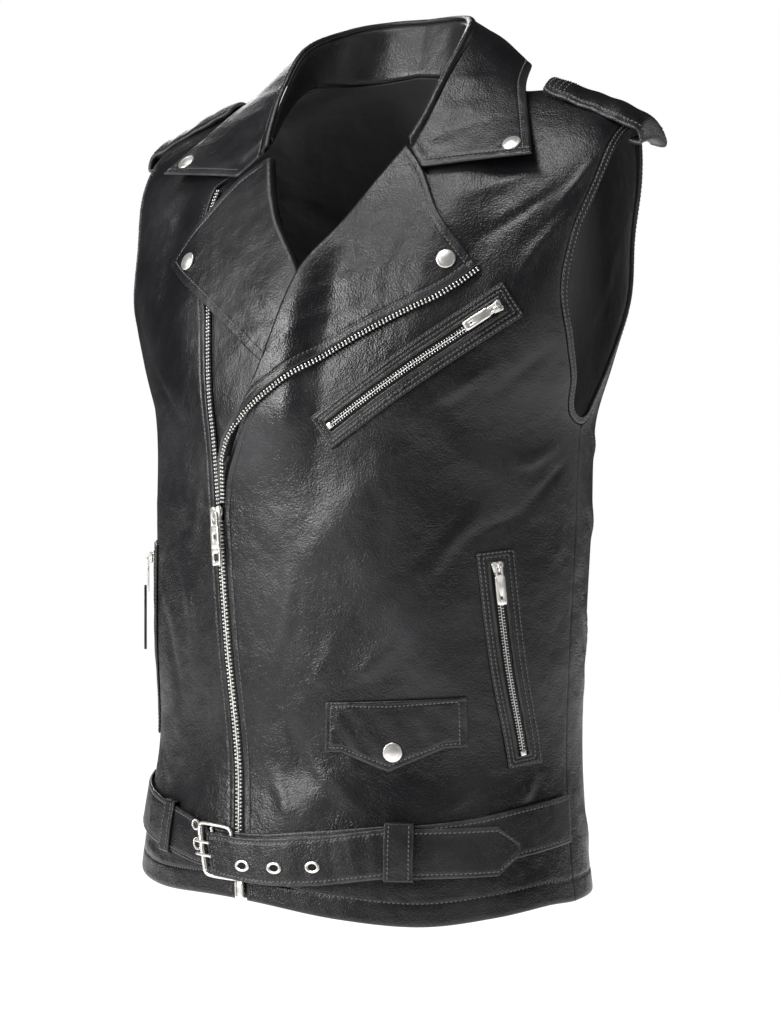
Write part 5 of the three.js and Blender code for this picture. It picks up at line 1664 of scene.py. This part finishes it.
def belt_loop(name, deg, z, width, half, height):
    """A leather bridge over the straps, its ends turned under on the leather."""
    side_rows = [[-half, 2.2, 0.9], [-half + 0.7, height - 1.2, 0.9], [-half + 1.7, height, height - 1.7]]
    rows = np.array([*side_rows, [0, height + 0.25, height - 1.45],
                     *([-x, a, b] for x, a, b in reversed(side_rows))])
    end = np.concatenate([np.linspace(0, 2.4, 13), [3.2, 4.4, 6]])
    across = np.concatenate([end - half, np.linspace(8 - half, half - 8, 22), half - end[::-1]])
    high, low = np.interp(across, rows[:, 0], rows[:, 1]), np.interp(across, rows[:, 0], rows[:, 2])
    high[1:-1] = (high[:-2] + 2 * high[1:-1] + high[2:]) / 4
    f = np.linspace(0, 2 * np.pi, 28, endpoint=False)
    side = bend(np.cos(f), 0.3) * width / 2 / LOOP_DEGREE
    rise = (bend(np.sin(f), 0.4) + 1) / 2
    groove = np.exp(-(((np.abs(side) - width / 5 + 1.1) / 0.35) ** 2)) * (rise > 0.6)
    uneven = 0.25 * np.sin(across / 4.5 + deg)[:, None] * np.sin(side * 1.3 + 1)[None] * rise[None]
    h = lerp(low[:, None], high[:, None], rise[None]) - 0.35 * groove + np.abs(uneven)
    rings = belt_point(deg + side[None] * (1 + 0.02 * np.sin(across / 6)[:, None]), z + across[:, None], h)
    # Lighter grey beside the loop's grooves: wear, and on this strap leather also a painted highlight
    wear_and_highlight = np.broadcast_to(0.15 + 0.7 * np.exp(-((np.abs(side) - width / 5) / 0.5) ** 2)[None], h.shape)
    o = tube(name, rings, STRAP_LEATHER, np.concatenate([wear_and_highlight.ravel(), [0, 0]]), closed=False)
    rides(o, "vest", "leather", name)
    seams = []
    for edge in (-1, 1):
        place = deg + edge * (width / 2 - 2.8) / LOOP_DEGREE
        inner = np.abs(across) < half - 2
        turns, top = np.full(inner.sum(), place), high[inner] - 0.1
        seams.append(seam(lambda h: belt_point(turns, z + across[inner], top + h), 3.4))
    return o, seams


# Buckle: places by turn at its middle height, mm over the middle, and depth
BUCKLE = {"z": -605.7, "half": 18.7, "left": -14.8, "bar": FOLD, "right": -5.2, "rise": 5.7}
# The wire's way round: turn (0 left, 1 right), share of the half height, depth over the rise
FRAME = [[0, -0.9, 1], [0, -0.45, 1], [0, 0, 1], [0, 0.45, 1], [0, 0.9, 1], [0.1, 1, 1], [0.5, 1.01, 0.6],
         [0.9, 0.98, 0], [1, 0.86, -0.3], [1, 0.45, -0.3], [1, 0, -0.3], [1, -0.45, -0.3], [1, -0.86, -0.3],
         [0.9, -0.98, 0], [0.5, -1.01, 0.6], [0.1, -1, 1]]


def buckle_at(deg, up, h):
    """A point on the leaning buckle."""
    return belt_point(np.asarray(deg, float) - LEAN * np.asarray(up, float) / (BELT / 2), BUCKLE["z"] + up, h)


def wire_eye(deg, up, tall, wide, h):
    """A curled eye of wire, seen as a long ring beside the near bar."""
    f = np.linspace(0, 2 * np.pi, 36, endpoint=False)
    path = buckle_at(deg + np.cos(f) * wide / DEGREE, up + np.sin(f) * tall, h - np.cos(f) * 1.6)
    return closed_ring(rod_rings(path, 0.85, 1.0, 8, True))


def buckle():
    """A wire frame with a roller on its near bar, the bar in the strap's fold, and two prongs."""
    a, b, c = np.array(FRAME).T
    half, rise = BUCKLE["half"], BUCKLE["rise"]
    wire = buckle_at(lerp(BUCKLE["left"], BUCKLE["right"], a), b * half, rise + c)
    frame_wire = closed_ring(rod_rings(smooth_path(wire, 130, True), 1.35, 1.0, 12, True))
    up = np.linspace(-0.86, 0.86, 30) * half
    roller = lofted(rod_rings(buckle_at(np.full(30, BUCKLE["left"] + 0.2), up, rise + 1.15), 2.2, 0.9, 14))
    eye = wire_eye(BUCKLE["left"] - 1.25, 16.6, 3.3, 1.5, rise + 1.2)
    made = [metal("buckle_frame", frame_wire, roller, eye)]
    up = np.linspace(-0.91, 0.91, 24) * half
    made.append(metal("buckle_bar", lofted(rod_rings(buckle_at(np.full(24, BUCKLE["bar"]), up, rise), 1.2))))
    for name, up in (("buckle_prong_upper", 5.5), ("buckle_prong_lower", -4)):
        turns = [[-0.8, 4.7], [-1.45, 6.0], [-1.5, 8.4], [-0.8, 9.9], [0.4, 10.5], [2.0, 10.9], [3.9, 11.0]]
        path = smooth_path([buckle_at(BUCKLE["left"] + q, up, h) for q, h in turns], 50)
        pieces = [lofted(rod_rings(path, 1.05))]
        if up > 0:
            pieces.append(wire_eye(BUCKLE["left"] - 1.3, up - 2.6, 4.0, 1.5, rise + 1.6))
        made.append(metal(name, *pieces))
    return made


def eyelet(index, deg):
    """A rolled metal ring set in the strap, with a near-black disc inside it that paints the shade of its
    hole.
    """
    z = curve(OVER_STRAP, deg, 1) - 4.3
    depth_at = lambda q: curve(OVER_RISE, q, 1) + LAYER["thick"] + 0.1
    f = np.linspace(0, 2 * np.pi, 36, endpoint=False)[:, None]
    g = np.linspace(0, 2 * np.pi, 10, endpoint=False)[None]
    r = 3.4 + 1.0 * np.cos(g)
    h = depth_at(deg + np.cos(f) * 4 / DEGREE) + 0.35 + 0.85 * np.sin(g)
    sag = strap_creases(deg, 0)
    rings = belt_point(deg + np.cos(f) * r / DEGREE, z + np.sin(f) * r, h + sag)
    o = rides(tube(f"eyelet_{index}", rings, NICKEL), "vest", "nickel", f"eyelet_{index}")
    # The disc lies on the strap, which has no hole: it is painted shade
    f, disc = f[:, 0], []
    for q, up in ((2.8, -0.5), (2.8, 0.12), (1.5, 0.1), (0.3, 0.08)):
        place = deg + np.cos(f) * q / DEGREE
        disc.append(belt_point(place, z + np.sin(f) * q, depth_at(place) + up + sag))
    hole = joined(f"eyelet_hole_{index}", [lofted(disc)], [HOLE_SHADE])
    return [o, rides(hole, "vest", None)]


SNAP = 7.4  # radius of a snap's cap


def stud(name, line):
    """A snap's cap: a low dome with a rolled rim, turned about its own axis."""
    p, n = line(1.7), unit(line(2.7) - line(1.7))
    t = unit(np.cross([0, 0, 1.0], n))
    b = np.cross(n, t)
    profile = [[0.5, -0.6], [0.9, -0.5], [1.0, 0.1], [1.0, 0.7], [0.975, 1.1], [0.92, 1.35], [0.84, 1.45],
               [0.77, 1.5], [0.6, 1.85], [0.4, 2.12], [0.2, 2.27], [0.06, 2.31]]
    f = np.linspace(0, 2 * np.pi, 48, endpoint=False)
    x, y = np.cos(f)[:, None] * t, np.sin(f)[:, None] * b
    rings = [p + x * r * SNAP + y * r * SNAP + n * h for r, h in profile]
    return metal(name, lofted(rings))


def studs():
    """The five snaps, each square to the leather that carries it."""
    return [
        stud("stud_lapel_left", lambda h: lapel_point(LAPEL_LEFT, 0.89, 0.945, h)),
        stud("stud_lapel_right", lambda h: lapel_point(LAPEL_RIGHT, 0.895, 0.88, h)),
        stud("stud_collar_left", lambda h: offset(fall_middle, 0.957, 0.868, h - 0.1)),
        stud("stud_collar_right", lambda h: offset(fall_middle, -0.957, 0.868, h - 0.1)),
        stud("stud_flap", lambda h: at(102.5, -520, h + 2 + folds(102.5, -520) + 0.8)),
    ]


def zip_box(f):
    """The retaining box at the foot of the main zip, with the pin beside it."""
    box = lofted(slab(rounded_box(-6.5, 7, -4.2, 4.2), 1.3, 3.2, 0.6, f))
    pin = lofted(rod_rings(put(f, np.linspace(-11, 6, 16), np.full(16, -2.4), np.full(16, 2.9)), 1.1, 1.0, 8))
    return metal("zip_box", box, pin)


POCKETS = {
    "chest_pocket": (CHEST_POCKET, "chest_tab"),
    "pocket_left": (LEFT_POCKET, "left_tab"),
    "pocket_right": (RIGHT_POCKET, "right_tab"),
}
POCKET_TOOTH, POCKET_TOOTH_PITCH = 0.72, 2.3  # share of the main zip's tooth, and mm from tooth to tooth


def zip_pocket(name, ends, body_name):
    """A zip pocket: welt, chain in its slot, end stop, slider and pull tab."""
    place, length = pocket_place(ends)
    welt, seams = pocket_welt(name, ends)
    q = np.linspace(0, length, 90)
    line = lambda h: place(q, 0 * q, 1.5 + h)
    pieces, first = [], []
    for side, start in ((1, 0.25), (-1, 0.75)):
        stations = spaced(*run(line), POCKET_TOOTH_PITCH, start)
        first.append([row[0] for row in stations])
        points, faces = tooth(POCKET_TOOTH, side, side * 0.2)
        pieces += [(world, faces) for world in placed(points, stations)]
    pieces.append(lofted(slab(rounded_box(-3.2, 0.6, -2.3, 2.3), 0.3, 1.7, 0.3, first[0])))
    teeth = rides(joined(name + "_zip", pieces, [TEETH]), "vest", "teeth", name + "_zip")
    tape_line = lambda h: place(np.linspace(-1, length + 1, 60), np.zeros(60), 0.55 + h)
    tape = strip(name + "_tape", tape_line, -5.4, 5.4, -0.2, 0.3)
    (x0, z0), (x1, z1) = ends
    dx, dz = x1 - x0, z1 - z0
    x, z = x0 + dx * 0.985, z0 + dz * 0.985
    f = frame_on(x, z, folds(x, z) + overlap(x, z), -dx / 50, -dz / 50)
    made = [welt, teeth, tape, slider(name + "_slider", f, POCKET_PULL),
            pull_tab(name + "_pull", f, POCKET_PULL, body_name)]
    return made, seams, f


PULLER_SIDE = [[22, -1.6], [30, -2.2], [34, -4.4], [44, -4.4], [47, -2.8], [76, -3.2]]


def leather_puller(f):
    """The stitched leather tail of the right pocket's tab."""
    outline = ring_outline([*PULLER_SIDE, *([x, -y] for x, y in reversed(PULLER_SIDE))], 4)
    o = joined("pocket_right_puller", [lofted(slab(outline, 8.5, 10.6, 0.6, f))], [STRAP_LEATHER])
    o.data.attributes.new("edge", "FLOAT", "POINT")
    rides(o, "right_tab", "leather", "pocket_right_puller")
    return o


# Sewing
STITCH_LONG, STITCH_THICK = 2.6, 0.5


def stitch_shape():
    """One stitch: a short thick thread, tapered and sunk at both ends, lying a little askew."""
    rings = []
    f = np.linspace(0, 2 * np.pi, 6, endpoint=False)
    for x, r, up in ((-0.5, 0.35, -0.34), (-0.3, 0.95, 0.05), (0.3, 0.95, 0.05), (0.5, 0.35, -0.34)):
        y, z = np.cos(f) * r * STITCH_THICK, np.sin(f) * r * STITCH_THICK + up
        rings.append(np.stack([np.full(6, x * STITCH_LONG), y + x * 0.35, z], -1))
    return lofted(rings)


def sew(name, seams, body_name="vest"):
    """All stitches of some seams as one piece."""
    o = stamp(name, stitch_shape(), seams, [THREAD])
    return rides(o, body_name, None)


ZIP_STITCH_SUNK = 0.32  # mm that the stitches beside the zip lie below the leather's face


def front_seams():
    """Stitching of the fronts: beside the zip and round the hem."""
    left_z = np.linspace(HEM["front"] + 4, -338, 200)
    right_z = np.linspace(HEM["front"] + 4, -100, 320)
    beside = HALF_TAPE + ZIP_STITCH
    seams = [seam(lambda h: surface(zip_x(left_z) + beside, left_z, h - ZIP_STITCH_SUNK)),
             seam(lambda h: surface(zip_x(right_z) - beside, right_z, h - ZIP_STITCH_SUNK))]
    for sign, edge in ((1, left_edge), (-1, right_edge)):
        x, z = edge(np.zeros(1))
        inner_a, inner_v = turn_at(x, z), level_at(turn_at(x, z), z)
        outer_a, outer_v = outer_end(np.zeros(1), sign, False)
        u = np.linspace(0.02, 0.99, 200)
        a = lerp(inner_a, outer_a, u)
        v = lerp(inner_v, outer_v, u) + (HEM_STITCH - curve(HEM_SAG, np.degrees(a), 1)) / LEVEL
        p = face(a, v)
        height = worn(p[:, 0], p[:, 2])
        seams.append(seam(lambda h: lift(a, v, height - 0.25 + h)))
    return seams


def back_seams():
    """Stitching of the back: round the hem and along the neck."""
    seams = []
    rows = [(0.985, 300, SPLIT * HEM_STITCH / LOW_ROWS, -0.25), (0.3, 80, 0.975, -0.2)]
    for reach_s, count, r, down in rows:
        s = np.linspace(-reach_s, reach_s, count)
        seams.append(seam(lambda h: back_point(s, np.full_like(s, r), down + h)[0]))
    return seams


def lapel_seams(L, root_share):
    """Stitching of a lapel along its outer edge and its notch edge, one stitch line's width in."""
    w = np.linspace(FOLD_SHARE, 1, 90)
    t = np.linspace(0.01, 1, 160)
    grid_w, grid_t = np.meshgrid(w, t)
    p = lapel_point(L, grid_w, grid_t, 0 * grid_w)
    over, along = reach(p, 1), reach(p, 0)
    out = over[:, -1:] - over
    notch = along[-1:] - along
    w_line = np.array([np.interp(-LAPEL_STITCH, -row, w) for row in out])
    t_line = np.array([np.interp(-LAPEL_STITCH, -row, t) for row in notch.T])
    half = L["thick"] / 2 - 0.3
    far_t = np.interp(LAPEL_STITCH, notch[::-1, -8], t[::-1])
    keep = (t < far_t) & (out[:, 0] > LAPEL_STITCH + 4)
    first = seam(lambda h: lapel_point(L, w_line[keep], t[keep], half + h))
    stop = np.interp(-LAPEL_STITCH, -out[-6], w)
    keep = (w > root_share) & (w < stop)
    second = seam(lambda h: lapel_point(L, w[keep], t_line[keep], half + h))
    return [first, second]


def collar_seams():
    """Stitching of the collar along its outer edge and both ends."""
    s = np.linspace(-1, 1, 420)
    t = np.linspace(TURN_SHARE, 1, 70)
    grid_t, grid_s = np.meshgrid(t, s, indexing="ij")
    p = fall_middle(grid_s, grid_t)
    out = reach(p, 0)
    out = out[-1:] - out
    t_line = np.array([np.interp(-COLLAR_STITCH, -col, t) for col in out.T])
    over = reach(p, 1)
    s_left = np.array([np.interp(over[i, -1] - COLLAR_STITCH, over[i], s) for i in range(len(t))])
    s_right = np.array([np.interp(COLLAR_STITCH, over[i], s) for i in range(len(t))])
    raised = lambda a, b: collar_wrinkles(a, b) * smooth((1 - b) * 75 / 14) * smooth(b * 4) + 1.0
    inner = (s > s_right[-12]) & (s < s_left[-12])
    on_fall = lambda a, b: seam(lambda h: offset(fall_middle, a, b, raised(a, b) + h))
    ends = (t > 0.27) & (t < np.median(t_line))
    return [on_fall(s[inner], t_line[inner]), on_fall(s_left[ends], t[ends]), on_fall(s_right[ends], t[ends])]


# Belt loops: turn in degrees, height of the middle, width, half length, height over the body form
BELT_LOOPS = {"belt_loop_front": (35, -594, 18, 22, 9.3), "belt_loop_right": (-31.5, -596, 13, 20.6, 6.2)}


def build():
    """Makes every piece and returns them by name."""
    made = {}

    def keep(*objects):
        for o in objects:
            made[o.name.removesuffix(FINAL)] = o
        return objects

    keep(front_panel("front_left", left_edge, 1, 300), front_panel("front_right", right_edge, -1, 190))
    keep(back_panel(), underlap())
    keep(lapel("lapel_left", LAPEL_LEFT), lapel("lapel_right", LAPEL_RIGHT), collar_fall(), collar_stand())
    keep(*main_zip())
    sewn = {
        "stitches_fronts": front_seams(),
        "stitches_back": back_seams(),
        "stitches_lapel_left": lapel_seams(LAPEL_LEFT, 0.36),
        "stitches_lapel_right": lapel_seams(LAPEL_RIGHT, 0.36),
        "stitches_collar": collar_seams(),
    }

    def keep_sewn(key, piece):
        o, sewn["stitches_" + key] = piece
        keep(o)

    for side, sign in (("left", 1), ("right", -1)):
        keep_sewn("armhole_" + side, binding(side, sign))
        keep_sewn("epaulette_" + side, epaulette(side, sign))
    for key, part in (("flap", coin_flap), ("belt_left", belt_left), ("belt_right", belt_right)):
        keep_sewn(key, part())
    for name, place in BELT_LOOPS.items():
        keep_sewn(name, belt_loop(name, *place))
    f = frame_on(zip_x(SLIDER_Z + 4), SLIDER_Z + 4, 0, 0.5, -4)
    keep(slider("main_slider", f, MAIN_PULL), pull_tab("main_pull", f, MAIN_PULL, "main_tab"))
    keep(zip_box(frame_on(zip_x(-632.0), -632, 0, 0.5, -4)))
    for name, (ends, body_name) in POCKETS.items():
        pieces, seams, f = zip_pocket(name, ends, body_name)
        keep(*pieces)
        sewn["stitches_" + name] = seams
    keep(leather_puller(f))
    keep(*buckle())
    for i, deg in enumerate((-2, 5.5, 14.5)):
        keep(*eyelet(i + 1, deg))
    keep(*studs())
    for name, seams in sewn.items():
        keep(sew(name, seams))
    return made


# Sheets: width, length and area of the cut in metres, how it is held, what it rests on, what is sewn on it
SHEETS = {
    "front_left": (0.33, 0.64, 0.166, "hung", "back", ["stitches_fronts"]),
    "front_right": (0.26, 0.62, 0.1205, "hung", "back", []),
    "back": (0.55, 0.66, 0.315, "hung", None, ["stitches_back"]),
    "underlap_right": (0.12, 0.57, 0.045, "hung", "front_right", []),
    "lapel_left": (0.1, 0.26, 0.01745, "folded", "front_left", ["stitches_lapel_left"]),
    "lapel_right": (0.11, 0.2, 0.01655, "folded", "front_right", ["stitches_lapel_right"]),
    "collar_fall": (0.09, 0.56, 0.0402, "folded", "back", ["stitches_collar"]),
    "collar_stand": (0.032, 0.38, 0.0113, "folded", "back", []),
    "armhole_binding_left": (0.01, 0.55, 0.004, "folded", "front_left", ["stitches_armhole_left"]),
    "armhole_binding_right": (0.01, 0.55, 0.004, "folded", "front_right", ["stitches_armhole_right"]),
    "epaulette_left": (0.046, 0.13, 0.0058, "laid", "front_left", ["stitches_epaulette_left"]),
    "epaulette_right": (0.046, 0.13, 0.0058, "laid", "front_right", ["stitches_epaulette_right"]),
    "coin_flap": (0.055, 0.101, 0.00498, "laid", "front_left", ["stitches_flap"]),
    "belt_left": (0.0365, 0.585, 0.0212, "folded", "front_left", ["stitches_belt_left"]),
    "belt_right": (0.035, 0.23, 0.008, "laid", "front_right", ["stitches_belt_right"]),
    "belt_loop_front": (0.018, 0.075, 0.00134, "folded", "belt_left", ["stitches_belt_loop_front"]),
    "belt_loop_right": (0.013, 0.065, 0.00084, "folded", "belt_right", ["stitches_belt_loop_right"]),
    "chest_pocket_welt": (0.032, 0.16, 0.00456, "laid", "front_left", ["stitches_chest_pocket"]),
    "pocket_left_welt": (0.032, 0.16, 0.0044, "laid", "front_left", ["stitches_pocket_left"]),
    "pocket_right_welt": (0.032, 0.16, 0.0042, "laid", "front_right", ["stitches_pocket_right"]),
    "zip_tape_left": (0.01, 0.29, 0.00144, "hung", "front_left", []),
    "zip_tape_right": (0.01, 0.56, 0.00284, "hung", "front_right", []),
    "zip_tape_open_left": (0.01, 0.29, 0.00247, "hung", "front_left", []),
    "chest_pocket_tape": (0.0115, 0.155, 0.00177, "laid", "chest_pocket_welt", []),
    "pocket_left_tape": (0.0115, 0.148, 0.00166, "laid", "pocket_left_welt", []),
    "pocket_right_tape": (0.0115, 0.142, 0.00158, "laid", "pocket_right_welt", []),
}


def declare(made):
    """Looks up the pieces that are sewn on each cloth piece; the sizes of the cut are not used."""
    for name, (width, length, area, held, rests_on, sewn_on) in SHEETS.items():
        [made[n] for n in sewn_on]


def aim(o, target):
    """Turns a camera or light so that it looks at a point."""
    o.rotation_mode = "QUATERNION"
    o.rotation_quaternion = (Vector(target) - o.location).to_track_quat("-Z", "Y")


def camera():
    """The photo's viewpoint: 35 degrees towards the wearer's left, chest height, two metres away."""
    data = bpy.data.cameras.new("camera")
    data.lens, data.sensor_width = 87.2, 36
    o = bpy.data.objects.new("camera", data)
    bpy.context.scene.collection.objects.link(o)
    o.location = (1.147, -1.638, -0.2306)
    aim(o, (0.0125, 0.0088, -0.3491))
    bpy.context.scene.camera = o


def softbox(name, place, target, size, power):
    """One large soft studio light."""
    data = bpy.data.lights.new(name, "AREA")
    data.shape, data.size, data.size_y, data.energy = "RECTANGLE", size[0], size[1], power
    o = bpy.data.objects.new(name, data)
    bpy.context.scene.collection.objects.link(o)
    o.location = place
    aim(o, target)
    o.visible_camera = False


def studio():
    """Pale floor, white surroundings that light only softly, and five soft boxes round and above."""
    bpy.context.scene.view_settings.view_transform = "Standard"
    world = bpy.data.worlds.new("studio")
    world.use_nodes = True
    bpy.context.scene.world = world
    t = world.node_tree
    t.nodes.clear()
    seen = node(t, "ShaderNodeBackground", {"Color": (1, 1, 1, 1), "Strength": 1.0})
    given = node(t, "ShaderNodeBackground", {"Color": (0.95, 0.97, 1, 1), "Strength": 0.035})
    spread = node(t, "ShaderNodeBackground", {"Color": (1, 1, 1, 1), "Strength": 0.6})
    path = node(t, "ShaderNodeLightPath")
    mixed = given
    for ray, other in (("Is Diffuse Ray", spread), ("Is Camera Ray", seen)):
        sockets = {0: path.outputs[ray], 1: mixed.outputs[0], 2: other.outputs[0]}
        mixed = node(t, "ShaderNodeMixShader", sockets)
    t.links.new(mixed.outputs[0], node(t, "ShaderNodeOutputWorld").inputs[0])
    bpy.ops.mesh.primitive_circle_add(vertices=96, radius=7, fill_type="NGON", location=(0, 0, -1.5))
    floor = bpy.context.object
    floor.name = "floor"
    pale = start_material("pale floor", Base_Color=(0.8, 0.8, 0.8, 1), Roughness=0.9, Specular_IOR_Level=0.1,
                          Emission_Color=(1, 1, 1, 1), Emission_Strength=0.62)[0]
    floor.data.materials.append(pale)
    middle = (0, 0, -0.33)
    softbox("key", (-1.5, -2.3, 0.7), middle, (0.7, 1.6), 74)
    softbox("side", (2.4, -1.2, 0.7), middle, (0.5, 1.6), 6)
    softbox("top", (-0.5, -0.9, 1.9), middle, (1.1, 0.8), 25)
    softbox("back_left", (-1.7, 1.5, 0.8), middle, (0.6, 1.6), 15)
    softbox("back_right", (1.6, 1.9, 0.6), middle, (0.6, 1.6), 9)


made = build()
declare(made)
camera()
studio()
